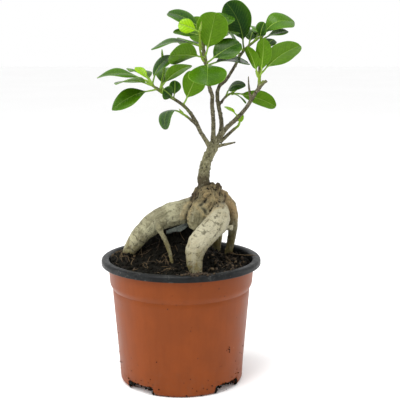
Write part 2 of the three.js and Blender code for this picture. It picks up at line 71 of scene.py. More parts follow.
# Each leg's middle line and its radius there.
ROOT_LINES = {
    "crown": [(19, 2, 118, 8), (20, 3, 128, 12.5), (19, 3, 138, 12.6), (18, 3, 148, 7)],
    "left_leg": [(16, 3, 134, 9), (1, 2, 128, 9), (-10, 0, 126, 9.2), (-20, -2, 121, 8.6),
                 (-29, -3, 113, 7.2), (-36, -3, 104, 5.8), (-41, -1, 96, 4.4), (-44, 6, 78, 2.8)],
    "strut": [(-18, -7, 122, 3.4), (-12.6, -11, 112, 1.9), (-8, -13, 100, 1.7), (-6, -14, 90, 1.5)],
    "belly": [(19, 0, 136, 9), (14.5, -5, 127, 10.5), (9.5, -8, 116.5, 5)],
    "front_leg": [(28, 2, 131, 7), (28.5, -9, 127, 8.4), (25.5, -16, 122, 8.6),
                  (19.5, -22, 117, 8.4), (12.5, -27.5, 110, 8), (9.8, -31, 101, 6.7),
                  (11, -33, 94, 5.2), (13, -33, 78, 3)],
    "right_leg": [(24, 3, 142, 5.8), (33, 8, 138, 4.9), (39, 12.5, 128, 4.1), (39.5, 18, 112, 3.6),
                  (38, 24, 99, 3.2), (35, 28, 78, 2.4)],
    "back_leg": [(20, 6, 132, 9), (23, 20, 124, 7.6), (26.5, 31, 110, 6), (27, 37, 80, 3)],
}
GRAFT = (17.5, 3, 147)
SCARS = [(8.5, -3, 141), (30, -1, 148.5)]
# Old cuts round the crown: the ends of each groove.
GROOVES = [((12, -11, 139), (19, -14, 131)), ((27, -9, 141), (19, -14, 131)),
           ((21, -9, 143), (15, -11, 136)), ((22, -10, 143), (28, -9, 134)),
           ((6, -7, 136), (2, -10, 124)), ((33, 4, 142), (35, 0, 130)),
           ((10, 13, 140), (16, 16, 130)), ((26, 14, 141), (16, 16, 130)),
           ((31, 12, 140), (33, 18, 130))]
GROOVE_STEPS = 14
# Rounds of evening that take the steps out of a net.
ROOT_ROUNDS = 70
TWIG_ROUNDS = 60
# Share of an opened leaf's fold and width, where a leaf has none of its own.
USUAL_FOLD = 0.75
USUAL_WIDTH = 1.08
LEAF_LAYERS = ("along", "across", "rim", "tone", "youth")
# Where each run of random draws starts. Leaves count on from theirs.
CRUMB_SEED = 11
LITTER_SEED = 5
KNOT_SEED = 3
BUD_SEED = 8
LEAF_SEED = 100

# Where a twig ends in a pointed bud, and the way that the bud points.
BUDS = [
    ((-22, -10, 225), (-1, -0.2, 0.9)),
    ((2, -11, 203), (-0.6, -0.4, 0.7)),
    ((17, -8, 262), (0.1, 0, 1)),
    ((14, -18, 262), (0.25, -0.3, 1)),
    ((16, 8, 249), (-0.1, 0.8, 0.8)),
    ((55, 12, 255), (0.9, 0.1, 0.7)),
    ((58, -4, 257), (0.1, 0.1, 1)),
    ((38, 18, 216), (0.8, 0.4, 0.6)),
    ((43, 13, 192), (0.4, 0.2, 1)),
    ((-12, -8, 217.5), (-0.2, -0.7, 1)),
    ((56.5, -8, 229), (-0.4, 0.6, 1)),
]

# How deep a leaf's green is, from 0 for dark and bluish to 1 for light. Others are drawn.
LEAF_TONES = {
    "leaf_left_far": 0.5, "leaf_left_broad": 0.62, "leaf_left_drooping": 0.5,
    "leaf_left_cupped": 0.12, "leaf_left_inner": 0.6, "leaf_left_round": 0.05,
    "leaf_left_round_upper": 0.1, "leaf_left_rising": 0.8, "leaf_left_hanging": 0.1,
    "leaf_middle_upright": 0.72, "leaf_middle_front": 0.5, "leaf_middle_left": 0.55,
    "leaf_middle_left_upper": 0.3, "leaf_top_left": 0.2, "leaf_top_small": 0.35,
    "leaf_top_right": 0.35, "leaf_middle_right": 0.22, "leaf_middle_right_upper": 0.1,
    "leaf_middle_right_lower": 0.08, "leaf_fork_tall": 0, "leaf_fork_rear": 0.3,
    "leaf_right_broad": 0.75, "leaf_right_narrow": 0.68, "leaf_right_inner": 0.85,
    "leaf_right_top": 0.7, "leaf_right_top_lower": 0.65, "leaf_right_round": 0.15,
    "leaf_right_small": 0.15, "leaf_low_dark": 0.05, "leaf_low_long": 0.85,
    "leaf_low_hanging": 0.25,
}

# How far a leaf is folded, as a share of its solid's fold. The others are folded by 0.75.
LEAF_FOLDS = {"leaf_middle_front": -0.9, "leaf_fork_tall": 0.4, "leaf_left_round": 0.2,
              "leaf_left_hanging": -0.3, "leaf_low_dark": -0.3}

# How broad a leaf is, as a share of its solid's width. The others are 1.08.
LEAF_WIDTHS = {"leaf_left_hanging": 1.7, "leaf_left_inner": 1.2, "leaf_left_drooping": 1.15,
               "leaf_right_broad": 1.3, "leaf_middle_right_lower": 1.3, "leaf_left_cupped": 1.3,
               "leaf_left_round": 1.2, "leaf_low_dark": 1.2, "leaf_middle_left": 1.15,
               "leaf_middle_right": 1.15, "leaf_fork_tall": 1, "leaf_middle_upright": 1}

# ---------------------------------------------------------------- settings


def length(name, description, default):
    return FloatProperty(name=name, description=description, default=default, unit="LENGTH",
                         min=0, precision=5)


def colour(name, description, default):
    return FloatVectorProperty(name=name, description=description, default=default,
                               subtype="COLOR", size=3, min=0, max=1)


class BonsaiSizes(bpy.types.PropertyGroup):
    """Sizes that change how finely the plant is made."""

    pot_sides: IntProperty(name="Pot sides", description="Steps in the pot's turning",
                           default=288, min=48, max=720)
    root_net: length("Root net", "Size of the squares that the roots are made of", 0.6 * MM)
    twig_net: length("Twig net", "Size of the squares that the branches are made of", 0.34 * MM)
    leaf_thickness: length("Leaf thickness", "Thickness of a blade", 0.5 * MM)
    vein_spacing: length("Vein spacing", "From one side vein to the next", 2.3 * MM)
    crumbs: IntProperty(name="Crumbs", description="Loose crumbs of peat", default=1500, min=0)
    fibres: IntProperty(name="Fibres", description="Fibres in the peat", default=170, min=0)
    bark_chips: IntProperty(name="Bark chips", description="Chips of bark", default=46, min=0)


class BonsaiColours(bpy.types.PropertyGroup):
    """Colours of the plant and its pot."""

    terracotta: colour("Terracotta", "Outside of the pot", (0.162, 0.0345, 0.0042))
    pot_black: colour("Pot inside", "Inside of the pot and its lip", (0.0045, 0.005, 0.0052))
    peat: colour("Peat", "Damp potting soil", (0.0042, 0.0036, 0.0022))
    straw: colour("Straw", "Bark chips and fibres", (0.10, 0.066, 0.03))
    root_skin: colour("Root skin", "Smooth skin of the roots", (0.235, 0.215, 0.12))
    root_pale: colour("Pale root skin", "Skin of the front leg", (0.36, 0.335, 0.235))
    crown_bark: colour("Crown bark", "Rough bark round the graft", (0.105, 0.072, 0.033))
    twig_bark: colour("Twig bark", "Bark of the trunk and the branches", (0.105, 0.098, 0.052))
    leaf_dark: colour("Dark leaf", "Upper side of the deepest green leaves", (0.006, 0.030, 0.004))
    leaf_light: colour("Light leaf", "Upper side of the lightest leaves", (0.054, 0.138, 0.0012))
    leaf_under: colour("Leaf underside", "Underside of the leaves", (0.075, 0.165, 0.004))
    leaf_young: colour("Young leaf", "Leaves that have just opened", (0.22, 0.40, 0.006))
    midrib: colour("Midrib", "Midrib and stalk", (0.21, 0.33, 0.05))


# ---------------------------------------------------------------- finishes

# A mix node has sockets of one name for each kind of data: these are the share and the colours.
MIX_INPUTS = (0, 6, 7)
MIX_OUTPUT = 2


class Finish:
    """A material whose nodes are added one call at a time. Each call gives back a socket."""

    def __init__(self, name):
        self.material = bpy.data.materials.new(name)
        self.material.use_nodes = True
        self.tree = self.material.node_tree
        self.tree.nodes.clear()
        self.place = self.add("ShaderNodeTexCoord").outputs["Object"]

    def add(self, kind, inputs=None, **settings):
        node = self.tree.nodes.new(kind)
        for key, value in settings.items():
            setattr(node, key, value)
        for key, value in (inputs or {}).items():
            if isinstance(value, bpy.types.NodeSocket):
                self.tree.links.new(value, node.inputs[key])
            else:
                node.inputs[key].default_value = value
        return node

    def attribute(self, name, output="Fac"):
        return self.add("ShaderNodeAttribute", attribute_name=name).outputs[output]

    def maths(self, operation, a, b=0.0, clamp=False):
        inputs = {0: a, 1: b}
        return self.add("ShaderNodeMath", inputs, operation=operation, use_clamp=clamp).outputs[0]

    def times(self, *values):
        product = values[0]
        for value in values[1:]:
            product = self.maths("MULTIPLY", product, value)
        return product

    def plus(self, *values):
        total = values[0]
        for value in values[1:]:
            total = self.maths("ADD", total, value)
        return total

    def band(self, value, low, high, bottom=0.0, top=1.0):
        """value's smooth step from bottom at low to top at high."""
        inputs = {"Value": value, "From Min": low, "From Max": high, "To Min": bottom,
                  "To Max": top}
        node = self.add("ShaderNodeMapRange", inputs, interpolation_type="SMOOTHSTEP", clamp=True)
        return node.outputs["Result"]

    def stretched(self, scale):
        """The place with each axis multiplied, so a share under 1 draws grain out along it."""
        inputs = {"Vector": self.place, "Scale": scale}
        return self.add("ShaderNodeMapping", inputs).outputs["Vector"]

    def grain(self, size, detail=3.0, rough=0.55, vector=None, warp=0.0):
        """Noise with lumps of about size, in metres."""
        inputs = {"Vector": vector or self.place, "Scale": 1 / size, "Detail": detail,
                  "Roughness": rough, "Distortion": warp}
        return self.add("ShaderNodeTexNoise", inputs).outputs["Fac"]

    def spots(self, size, vector=None):
        """Distance to the nearest of scattered points, in shares of size."""
        inputs = {"Vector": vector or self.place, "Scale": 1 / size}
        return self.add("ShaderNodeTexVoronoi", inputs).outputs["Distance"]

    def blend(self, share, a, b):
        """The colour a turned into the colour b by share."""
        a, b = (v if isinstance(v, bpy.types.NodeSocket) else (*v, 1) for v in (a, b))
        node = self.add("ShaderNodeMix", {}, data_type="RGBA")
        for index, value in zip(MIX_INPUTS, (share, a, b)):
            if isinstance(value, bpy.types.NodeSocket):
                self.tree.links.new(value, node.inputs[index])
            else:
                node.inputs[index].default_value = value
        return node.outputs[MIX_OUTPUT]

    def relief(self, height, depth, under=None):
        """A bump of the given depth in metres, over the relief under it."""
        inputs = {"Strength": 1.0, "Distance": depth, "Height": height}
        if under is not None:
            inputs["Normal"] = under
        return self.add("ShaderNodeBump", inputs).outputs["Normal"]

    def surface(self, base, roughness, normal=None, **uniform):
        inputs = {"Base Color": base, "Roughness": roughness}
        if normal is not None:
            inputs["Normal"] = normal
        shader = self.add("ShaderNodeBsdfPrincipled", inputs)
        for name, value in uniform.items():
            shader.inputs[name.replace("_", " ")].default_value = value
        self.add("ShaderNodeOutputMaterial", {"Surface": shader.outputs[0]})
        return self.material


def terracotta_plastic(colours):
    """Thermoformed skin: faint mottling, upright draw lines, dust low down, nicks and specks."""
    f = Finish("terracotta_plastic")
    clay = tuple(colours.terracotta)
    height = f.add("ShaderNodeSeparateXYZ", {0: f.place}).outputs["Z"]
    cloud = f.grain(22 * MM, 4)
    drawn = f.grain(3 * MM, 2, vector=f.stretched((1, 1, 0.06)))
    base = f.blend(f.band(cloud, 0.35, 0.7), clay, [v * 1.16 for v in clay])
    base = f.blend(f.band(drawn, 0.4, 0.75, 0, 0.22), base, [v * 0.78 for v in clay])
    dusty = f.times(f.band(f.grain(6 * MM, 5, 0.7), 0.48, 0.72), f.band(height, 0.03, 0.0, 0, 0.5))
    base = f.blend(dusty, base, (0.13, 0.05, 0.024))
    flecks = f.times(f.band(f.spots(5.2 * MM), 0.13, 0.05), f.band(f.grain(17 * MM, 1), 0.52, 0.62))
    base = f.blend(f.times(flecks, 0.85), base, (0.03, 0.012, 0.006))
    pale = f.times(f.band(f.spots(6.7 * MM, f.stretched((1, 1, 0.8))), 0.08, 0.03),
                   f.band(f.grain(13 * MM, 1), 0.57, 0.64))
    base = f.blend(f.times(pale, 0.6), base, (0.36, 0.15, 0.08))
    rough = f.plus(f.band(cloud, 0.2, 0.8, 0.33, 0.45), f.times(dusty, 0.5), f.times(flecks, 0.3))
    relief = f.relief(drawn, 0.05 * MM)
    relief = f.relief(f.grain(1.1 * MM, 2), 0.03 * MM, relief)
    relief = f.relief(flecks, 0.15 * MM, relief)
    return f.surface(base, rough, relief, Specular_IOR_Level=0.14)


def black_plastic(colours):
    """The black inner skin, with grey scuffs on the lip and dust under it."""
    f = Finish("black_plastic")
    black = tuple(colours.pot_black)
    scuff = f.times(f.band(f.grain(2.1 * MM, 5, 0.75), 0.52, 0.72),
                    f.band(f.grain(12 * MM, 2), 0.4, 0.62))
    base = f.blend(f.band(f.grain(5 * MM, 4, 0.65), 0.35, 0.75), black, [v * 2.6 for v in black])
    base = f.blend(f.times(scuff, 0.6), base, (0.13, 0.13, 0.12))
    crumb = f.band(f.spots(2.6 * MM), 0.16, 0.08)
    crumb = f.times(crumb, f.band(f.grain(9 * MM, 2), 0.5, 0.6))
    base = f.blend(crumb, base, (0.05, 0.028, 0.014))
    rough = f.plus(f.band(f.grain(3 * MM, 3), 0.3, 0.7, 0.3, 0.46), f.times(scuff, 0.25))
    relief = f.relief(f.grain(0.9 * MM, 3), 0.05 * MM)
    relief = f.relief(crumb, 0.2 * MM, relief)
    return f.surface(base, rough, relief, Specular_IOR_Level=0.12)


def damp_peat(colours):
    """Black peat with brown fibre specks, damp and glinting in places."""
    f = Finish("damp_peat")
    peat = tuple(colours.peat)
    lumps = f.grain(2.2 * MM, 6, 0.7)
    base = f.blend(f.band(lumps, 0.35, 0.7), [v * 0.45 for v in peat], [v * 2.2 for v in peat])
    thread = f.grain(1.3 * MM, 4, 0.7, vector=f.stretched((0.35, 1, 1)), warp=1.5)
    base = f.blend(f.band(thread, 0.62, 0.72, 0, 0.7), base, (0.022, 0.013, 0.006))
    fleck = f.times(f.band(f.spots(1.9 * MM), 0.2, 0.08), f.band(f.grain(7 * MM, 1), 0.5, 0.6))
    base = f.blend(f.times(fleck, 0.7), base, (0.06, 0.036, 0.016))
    rough = f.band(f.grain(4 * MM, 3), 0.35, 0.65, 0.55, 0.95)
    relief = f.relief(f.grain(0.8 * MM, 5, 0.75), 0.6 * MM)
    return f.surface(base, rough, relief, Specular_IOR_Level=0.08)


def litter(colours):
    """Bark chips and fibres: straw to dark brown by the piece's own tone."""
    f = Finish("bark_litter")
    straw = tuple(colours.straw)
    tone = f.attribute("tone")
    base = f.blend(f.band(tone, 0.0, 1.0), (0.02, 0.011, 0.006), straw)
    streak = f.grain(0.9 * MM, 4, 0.7, vector=f.stretched((0.5, 0.5, 1.6)))
    base = f.blend(f.band(streak, 0.35, 0.7, 0, 0.6), base, [v * 0.35 for v in straw])
    # a tone of 2 is the grey of dry skin
    grey = f.blend(f.band(streak, 0.35, 0.65), (0.04, 0.048, 0.042), (0.17, 0.19, 0.165))
    base = f.blend(f.band(tone, 1.2, 1.9), base, grey)
    relief = f.relief(streak, 0.25 * MM)
    return f.surface(base, f.band(streak, 0.3, 0.7, 0.6, 0.85), relief, Specular_IOR_Level=0.3)


def root_bark(colours):
    """Living skin of the swollen root: streaked along the legs, wrinkled across them, scaly and
    brown round the graft, yellow near the soil."""
    f = Finish("root_bark")
    skin, pale = tuple(colours.root_skin), tuple(colours.root_pale)
    bark = tuple(colours.crown_bark)
    along = f.attribute("grain", "Vector")
    ring = f.attribute("ring")
    crown, foot, light, tan, arm, shade, painted_shade = (
        f.attribute(n) for n in ("crown", "foot", "light", "tan", "arm", "shade", "painted_shade"))
    cloud = f.grain(11 * MM, 4, 0.6)
    blotch = f.grain(4.5 * MM, 4, 0.65)
    streak = f.grain(2.6 * MM, 5, 0.7, along)
    fine = f.grain(1.1 * MM, 4, 0.75)
    base = f.blend(f.band(cloud, 0.36, 0.64), [v * 1.12 for v in skin], [v * 0.6 for v in skin])
    mossy = f.times(arm, f.band(cloud, 0.6, 0.4, 0.15, 0.75))
    base = f.blend(mossy, base, (0.36, 0.35, 0.23))
    base = f.blend(f.times(light, f.band(cloud, 0.25, 0.55, 0.6, 0.95)), base, pale)
    base = f.blend(f.times(tan, f.band(streak, 0.3, 0.6, 0.4, 0.95)), base, (0.26, 0.165, 0.068))
    base = f.blend(f.times(shade, 0.6), base, (0.06, 0.052, 0.026))
    yellow = f.times(foot, f.band(blotch, 0.4, 0.6, 0.35, 1.0))
    base = f.blend(f.times(yellow, 0.85), base, (0.16, 0.125, 0.03))
    rusty = f.times(foot, f.band(f.grain(2.6 * MM, 3), 0.58, 0.68))
    base = f.blend(f.times(rusty, 0.8), base, (0.15, 0.055, 0.012))
    # pale and dark streaks and blotches over every leg
    base = f.blend(f.band(streak, 0.5, 0.68, 0, 0.6), base, (0.31, 0.29, 0.20))
    base = f.blend(f.band(streak, 0.47, 0.3, 0, 0.8), base, (0.055, 0.048, 0.022))
    base = f.blend(f.band(blotch, 0.44, 0.3, 0, 0.8), base, (0.055, 0.05, 0.025))
    base = f.blend(f.band(fine, 0.46, 0.32, 0, 0.6), base, (0.045, 0.036, 0.018))
    # fine dark wrinkles across each leg
    wander = f.plus(ring, f.times(f.grain(4 * MM, 3), 7 * MM))
    wrinkle = f.maths("PINGPONG", f.times(wander, 1 / (2.4 * MM)), 1.0)
    wrinkle = f.times(f.band(wrinkle, 0.24, 0.05),
                      f.band(f.grain(3.4 * MM, 3, 0.6, along), 0.47, 0.58))
    base = f.blend(f.times(wrinkle, 0.7), base, (0.05, 0.042, 0.022))
    nicks = f.times(f.band(f.spots(2.0 * MM), 0.24, 0.12), f.band(f.grain(6 * MM, 2), 0.46, 0.56))
    base = f.blend(f.times(nicks, 0.8), base, (0.04, 0.024, 0.01))
    scales = f.grain(2.6 * MM, 6, 0.8, warp=0.6)
    shred = f.grain(2.2 * MM, 6, 0.8, f.stretched((1, 1, 0.34)), warp=0.9)
    fissure = f.band(f.grain(5 * MM, 5, 0.7, f.stretched((1, 1, 0.6)), warp=1.0), 0.46, 0.38)
    scaly = f.blend(f.band(scales, 0.36, 0.64), [v * 0.8 for v in bark], [v * 2.5 for v in bark])
    scaly = f.blend(f.band(cloud, 0.45, 0.6, 0, 0.6), scaly, skin)
    scaly = f.blend(f.band(shred, 0.52, 0.66, 0, 0.9), scaly, (0.36, 0.28, 0.13))
    scaly = f.blend(f.band(shred, 0.47, 0.36, 0, 0.85), scaly, (0.03, 0.021, 0.009))
    base = f.blend(f.times(crown, f.band(blotch, 0.3, 0.6, 0.95, 0.6)), base, scaly)
    collar = f.times(f.attribute("collar"), f.band(shred, 0.66, 0.5, 0.35, 1))
    base = f.blend(f.times(collar, 0.92), base, (0.032, 0.019, 0.010))
    base = f.blend(f.times(f.attribute("lips"), f.band(fine, 0.4, 0.62, 0.1, 0.75)), base,
                   (0.33, 0.25, 0.12))
    split = f.times(crown, f.plus(f.times(fissure, 0.45), f.band(scales, 0.4, 0.3, 0, 0.35)))
    # painted shade: near black in the hollows, seams and grooves and darker low down by the soil,
    # with the crown bark's own dark fissures
    base = f.blend(f.band(f.plus(painted_shade, split), 0.1, 0.85), base, (0.008, 0.006, 0.003))
    rough = f.plus(f.band(fine, 0.3, 0.7, 0.5, 0.68), f.times(crown, 0.2))
    relief = f.relief(streak, 0.6 * MM)
    relief = f.relief(fine, 0.3 * MM, relief)
    relief = f.relief(f.plus(wrinkle, nicks), -0.4 * MM, relief)
    relief = f.relief(f.times(f.plus(scales, shred), crown), 1.2 * MM, relief)
    return f.surface(base, rough, relief, Specular_IOR_Level=0.2)


def twig_bark(colours):
    """Olive-grey bark with pale lenticels and dark specks, browner on the twigs, green at ends."""
    f = Finish("twig_bark")
    bark = tuple(colours.twig_bark)
    height = f.add("ShaderNodeSeparateXYZ", {0: f.place}).outputs["Z"]
    green, painted_shade = f.attribute("green"), f.attribute("painted_shade")
    cloud = f.grain(5 * MM, 4, 0.6, f.stretched((1, 1, 0.5)))
    fine = f.grain(0.7 * MM, 4, 0.7, f.stretched((1, 1, 0.6)))
    base = f.blend(f.band(cloud, 0.35, 0.65), bark, [v * 1.75 for v in bark])
    upper = f.band(height, 0.172, 0.2)
    base = f.blend(f.times(upper, 0.7), base, (0.068, 0.057, 0.036))
    rugged = f.grain(2.0 * MM, 4, 0.7)
    base = f.blend(f.band(rugged, 0.5, 0.36, 0, 0.9), base, (0.017, 0.014, 0.007))
    base = f.blend(f.band(rugged, 0.54, 0.66, 0, 0.7), base, (0.25, 0.24, 0.155))
    base = f.blend(f.band(fine, 0.48, 0.34, 0, 0.75), base, (0.018, 0.014, 0.008))
    pores = f.times(f.band(f.spots(1.7 * MM, f.stretched((1, 1, 1.4))), 0.27, 0.13),
                    f.band(f.grain(3.4 * MM, 2), 0.43, 0.53))
    base = f.blend(f.times(pores, 0.85), base, (0.36, 0.33, 0.23))
    base = f.blend(f.times(f.band(green, 0.1, 0.9), 0.9), base, (0.15, 0.235, 0.014))
    low = f.band(height, 0.163, 0.150)
    base = f.blend(f.times(low, f.band(cloud, 0.35, 0.55, 0.35, 0.95)), base, (0.035, 0.024, 0.012))
    # painted shade in the hollows and where the twigs meet
    base = f.blend(f.band(painted_shade, 0.1, 1), base, (0.01, 0.008, 0.004))
    relief = f.relief(fine, 0.28 * MM)
    relief = f.relief(pores, 0.2 * MM, relief)
    return f.surface(base, f.band(fine, 0.3, 0.7, 0.58, 0.8), relief, Specular_IOR_Level=0.15)


def vein_masks(f, spacing):
    """The midrib's and the side veins' masks, from the leaf's own along and across values."""
    along, across, rim = (f.attribute(n) for n in ("along", "across", "rim"))
    off = f.maths("ABSOLUTE", across)
    width = f.band(along, 4 * MM, 26 * MM, 0.6 * MM, 0.2 * MM)
    midrib = f.band(f.maths("DIVIDE", off, width), 1.0, 0.45)
    wander = f.times(f.plus(f.grain(5 * MM, 2), -0.5), 2.2 * MM)
    slant = f.plus(along, f.times(off, -0.8), wander)
    side = f.maths("PINGPONG", f.times(slant, 2 / spacing), 1.0)
    inside = f.times(f.band(rim, 0.92, 0.75), f.band(off, 0.2 * MM, 0.9 * MM))
    return midrib, f.times(f.band(side, 0.75, 0.98), inside), f.times(side, inside), rim, along


def leaf_face(name, sizes, colours, underside):
    """Waxy green with a pale midrib and quilted side veins. The underside is paler and duller."""
    f = Finish(name)
    tone, youth = f.attribute("tone"), f.attribute("youth")
    midrib, veins, quilt, rim, along = vein_masks(f, sizes.vein_spacing)
    mottle = f.grain(3.2 * MM, 5, 0.6)
    dark, light = tuple(colours.leaf_dark), tuple(colours.leaf_light)
    shade = f.plus(tone, f.times(f.plus(mottle, -0.5), 0.45))
    base = f.blend(f.maths("MULTIPLY", shade, 1.0, clamp=True), dark, light)
    if underside:
        under = tuple(colours.leaf_under)
        base = f.blend(0.62, base, under)
        base = f.blend(f.band(mottle, 0.4, 0.65, 0, 0.3), base, [v * 1.35 for v in under])
    # painted sheen: each blade lighter towards its edge
    base = f.blend(f.band(rim, 0.35, 0.95, 0, 0.28), base, [v * 1.25 for v in light])
    base = f.blend(youth, base, tuple(colours.leaf_young))
    # a young leaf is deeper green between its veins
    base = f.blend(f.times(youth, f.band(quilt, 0.7, 0.1, 0, 0.35)), base, light)
    base = f.blend(f.times(veins, 0.16 if underside else 0.08), base, tuple(colours.midrib))
    faint = f.band(along, 3 * MM, 30 * MM, 0.95, 0.8 if underside else 0.6)
    faint = f.times(faint, f.band(tone, 0.0, 0.6, 0.55, 1.0))
    base = f.blend(f.times(midrib, faint), base, tuple(colours.midrib))
    base = f.blend(f.band(rim, 0.94, 1.0, 0, 0.55), base, tuple(colours.midrib))
    spot = f.times(f.band(f.spots(2.7 * MM), 0.1, 0.04), f.band(f.grain(8 * MM, 1), 0.58, 0.66))
    base = f.blend(f.times(spot, 0.6), base, (0.16, 0.13, 0.04))
    haze = f.grain(1.6 * MM, 3)
    rough = f.band(haze, 0.3, 0.7, *((0.42, 0.56) if underside else (0.18, 0.3)))
    relief = f.relief(quilt, (0.06 if underside else -0.025) * MM)
    relief = f.relief(midrib, (0.3 if underside else -0.2) * MM, relief)
    relief = f.relief(f.grain(0.5 * MM, 3, 0.6), 0.035 * MM, relief)
    return f.surface(base, rough, relief, Specular_IOR_Level=0.13,
                     Specular_Tint=(0.85, 1.0, 0.6, 1.0), Subsurface_Weight=0.08,
                     Subsurface_Scale=0.9 * MM, Subsurface_Radius=(0.6, 1.0, 0.15))


def bud_green():
    """Tight bud scales: green with a reddish tip."""
    f = Finish("bud_green")
    tip = f.attribute("tip")
    fine = f.grain(0.6 * MM, 3)
    base = f.blend(f.band(fine, 0.35, 0.65), (0.13, 0.23, 0.015), (0.22, 0.34, 0.03))
    base = f.blend(f.band(tip, 0.5, 1, 0, 0.6), base, (0.17, 0.11, 0.02))
    relief = f.relief(fine, 0.08 * MM)
    return f.surface(base, f.band(fine, 0.3, 0.7, 0.35, 0.5), relief, Specular_IOR_Level=0.45)


# ---------------------------------------------------------------- making meshes


def merged_copy(node):
    """A bmesh of a solid with its loose triangles joined."""
    bm = bmesh.new()
    bm.from_mesh(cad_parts[node].data)
    bmesh.ops.remove_doubles(bm, verts=bm.verts, dist=WELD)
    return bm


def as_mesh(bm, name):
    """The bmesh as a mesh. The bmesh is freed."""
    mesh = bpy.data.meshes.new(name)
    bm.to_mesh(mesh)
    bm.free()
    return mesh


def linked(name, data):
    made = bpy.data.objects.new(name, data)
    bpy.context.scene.collection.objects.link(made)
    return made


def piece(source, name, finishes, slot, *replaced):
    """A finished piece of the plant, from a bmesh or a mesh."""
    mesh = source if isinstance(source, bpy.types.Mesh) else as_mesh(source, name)
    mesh.name = name
    if not mesh.materials:
        for finish in finishes:
            mesh.materials.append(finish)
    mesh.shade_smooth()
    made = linked(name, mesh)
    if replaced:
        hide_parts(*replaced)
    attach(made, "root")


def applied(mesh, kind, **settings):
    """The mesh after one modifier."""
    scratch = linked("scratch", mesh)
    modifier = scratch.modifiers.new("step", kind)
    for key, value in settings.items():
        setattr(modifier, key, value)
    depsgraph = bpy.context.evaluated_depsgraph_get()
    result = bpy.data.meshes.new_from_object(scratch.evaluated_get(depsgraph))
    bpy.data.objects.remove(scratch)
    return result


def mesh_points(mesh):
    points = np.empty(len(mesh.vertices) * 3)
    mesh.vertices.foreach_get("co", points)
    return points.reshape(-1, 3)


def set_points(mesh, points):
    mesh.vertices.foreach_set("co", points.astype(np.float32).ravel())
    mesh.update()


def mesh_normals(mesh):
    normals = np.empty(len(mesh.vertices) * 3)
    mesh.vertex_normals.foreach_get("vector", normals)
    return normals.reshape(-1, 3)


def relaxed(mesh, values, rounds, shrink=False):
    """values evened out over the mesh's edges. Without shrink, every second round swells back."""
    edges = np.empty(len(mesh.edges) * 2, dtype=np.int64)
    mesh.edges.foreach_get("vertices", edges)
    a, b = edges.reshape(-1, 2).T
    count = len(values)
    degree = np.bincount(np.concatenate((a, b)), minlength=count)
    values = values.copy()
    for step in range(rounds):
        total = np.stack([np.bincount(a, values[b, i], count) + np.bincount(b, values[a, i], count)
                          for i in range(values.shape[1])], axis=1)
        factor = 0.5 if shrink or step % 2 == 0 else -0.52
        values += factor * (total / degree[:, None] - values)
    return values


def lumps(points, size, seed):
    """Smooth noise from -1 to 1 at each point, with lumps of about size."""
    shift = Vector((seed * 7.3, seed * 3.1, seed * 5.7))
    return np.array([noise.noise(Vector(p) / size + shift) for p in points])


def near(points, spot, radius):
    """1 at a place in mm, falling smoothly to about a tenth at radius."""
    away = np.linalg.norm(points / MM - np.array(spot), axis=1) / radius
    return np.exp(-2.2 * away * away)


def point_tree(points):
    tree = KDTree(len(points))
    for index, point in enumerate(points):
        tree.insert(point, index)
    tree.balance()
    return tree


def from_grooves(points):
    """The distance in mm from each point to the nearest groove."""
    spots = []
    for a, b in GROOVES:
        spots += [Vector(a).lerp(Vector(b), i / GROOVE_STEPS) for i in range(GROOVE_STEPS + 1)]
    tree = point_tree(spots)
    return np.array([tree.find(point)[2] for point in points])


def write_attribute(mesh, name, values, kind="FLOAT"):
    layer = mesh.attributes.new(name, kind, "POINT")
    key = "vector" if kind == "FLOAT_VECTOR" else "value"
    layer.data.foreach_set(key, np.asarray(values, dtype=np.float32).ravel())


def creases(mesh, reach):
    """How deep each point lies in a hollow, from 0 to about 1 at reach."""
    points = mesh_points(mesh)
    evened = relaxed(mesh, points, 14, shrink=True)
    depth = np.einsum("ij,ij->i", evened - points, mesh_normals(mesh))
    return np.clip(depth / reach, 0, 1)


def stem(bm, path, radii, sides=8):
    """A closed round stem along the points of path. Returns its vertices with their stations."""
    rings = len(path) - 1
    made = bmesh.ops.create_uvsphere(bm, u_segments=sides, v_segments=rings, radius=1)["verts"]
    frames = carried_frames(path)
    placed = []
    for vertex in made:
        station = round(math.acos(max(-1, min(1, vertex.co.z))) / math.pi * rings)
        angle = math.atan2(vertex.co.y, vertex.co.x)
        side, up = frames[station]
        radius = 0 if station in (0, rings) else radii[station]
        vertex.co = path[station] + radius * (math.cos(angle) * side + math.sin(angle) * up)
        placed.append((vertex, station))
    return placed


def carried_frames(path):
    """Two unit vectors across the path at each point, carried along it without twisting."""
    frames = []
    side = None
    for index in range(len(path)):
        ahead = path[min(index + 1, len(path) - 1)] - path[max(index - 1, 0)]
        ahead.normalize()
        if side is None:
            side = ahead.orthogonal()
        side = (side - ahead * side.dot(ahead)).normalized()
        frames.append((side, ahead.cross(side)))
    return frames


def curve_at(values, at):
    """Values on a smooth curve through rows of numbers, at a place counted in rows."""
    last = len(values) - 1
    index = min(int(at), last - 1)
    t = at - index
    a, b = values[index], values[index + 1]
    before = values[index - 1] if index > 0 else 2 * a - b
    after = values[index + 2] if index + 2 <= last else 2 * b - a
    return 0.5 * (2 * a + (b - before) * t + (2 * before - 5 * a + 4 * b - after) * t ** 2
                  + (3 * a - before - 3 * b + after) * t ** 3)


# ---------------------------------------------------------------- pot

POT_WALL = 1.1
LIP_ROOM = 5.2  # from the collar to the lip's outside
LIP_DROP = 4.5
LIP_ROUND = 2.2
SHOULDER_TOP = 75.9
SHOULDER_FOOT = 71.9
COLLAR_FOOT_RADIUS = 53.8
WALL_TOP_RADIUS = 51.9
FOOT_RADIUS = 43.6
FOOT_ROUND = 3
CHANNEL_TURNS = (49, 139, 229, 319)
CHANNEL_HALF = 12.5
CHANNEL_HEIGHT = 5
CHANNEL_EASE = 1.3  # over which a channel's side slopes
CHANNEL_LIFT = 14  # height up to which the wall gives way to a channel
HUB_RADIUS = 13
DRAIN_RADIUS = 4
DRAIN_REACH = 33.6


def eased(value, low, high):
    t = min(1, max(0, (value - low) / (high - low)))
    return t * t * (3 - 2 * t)


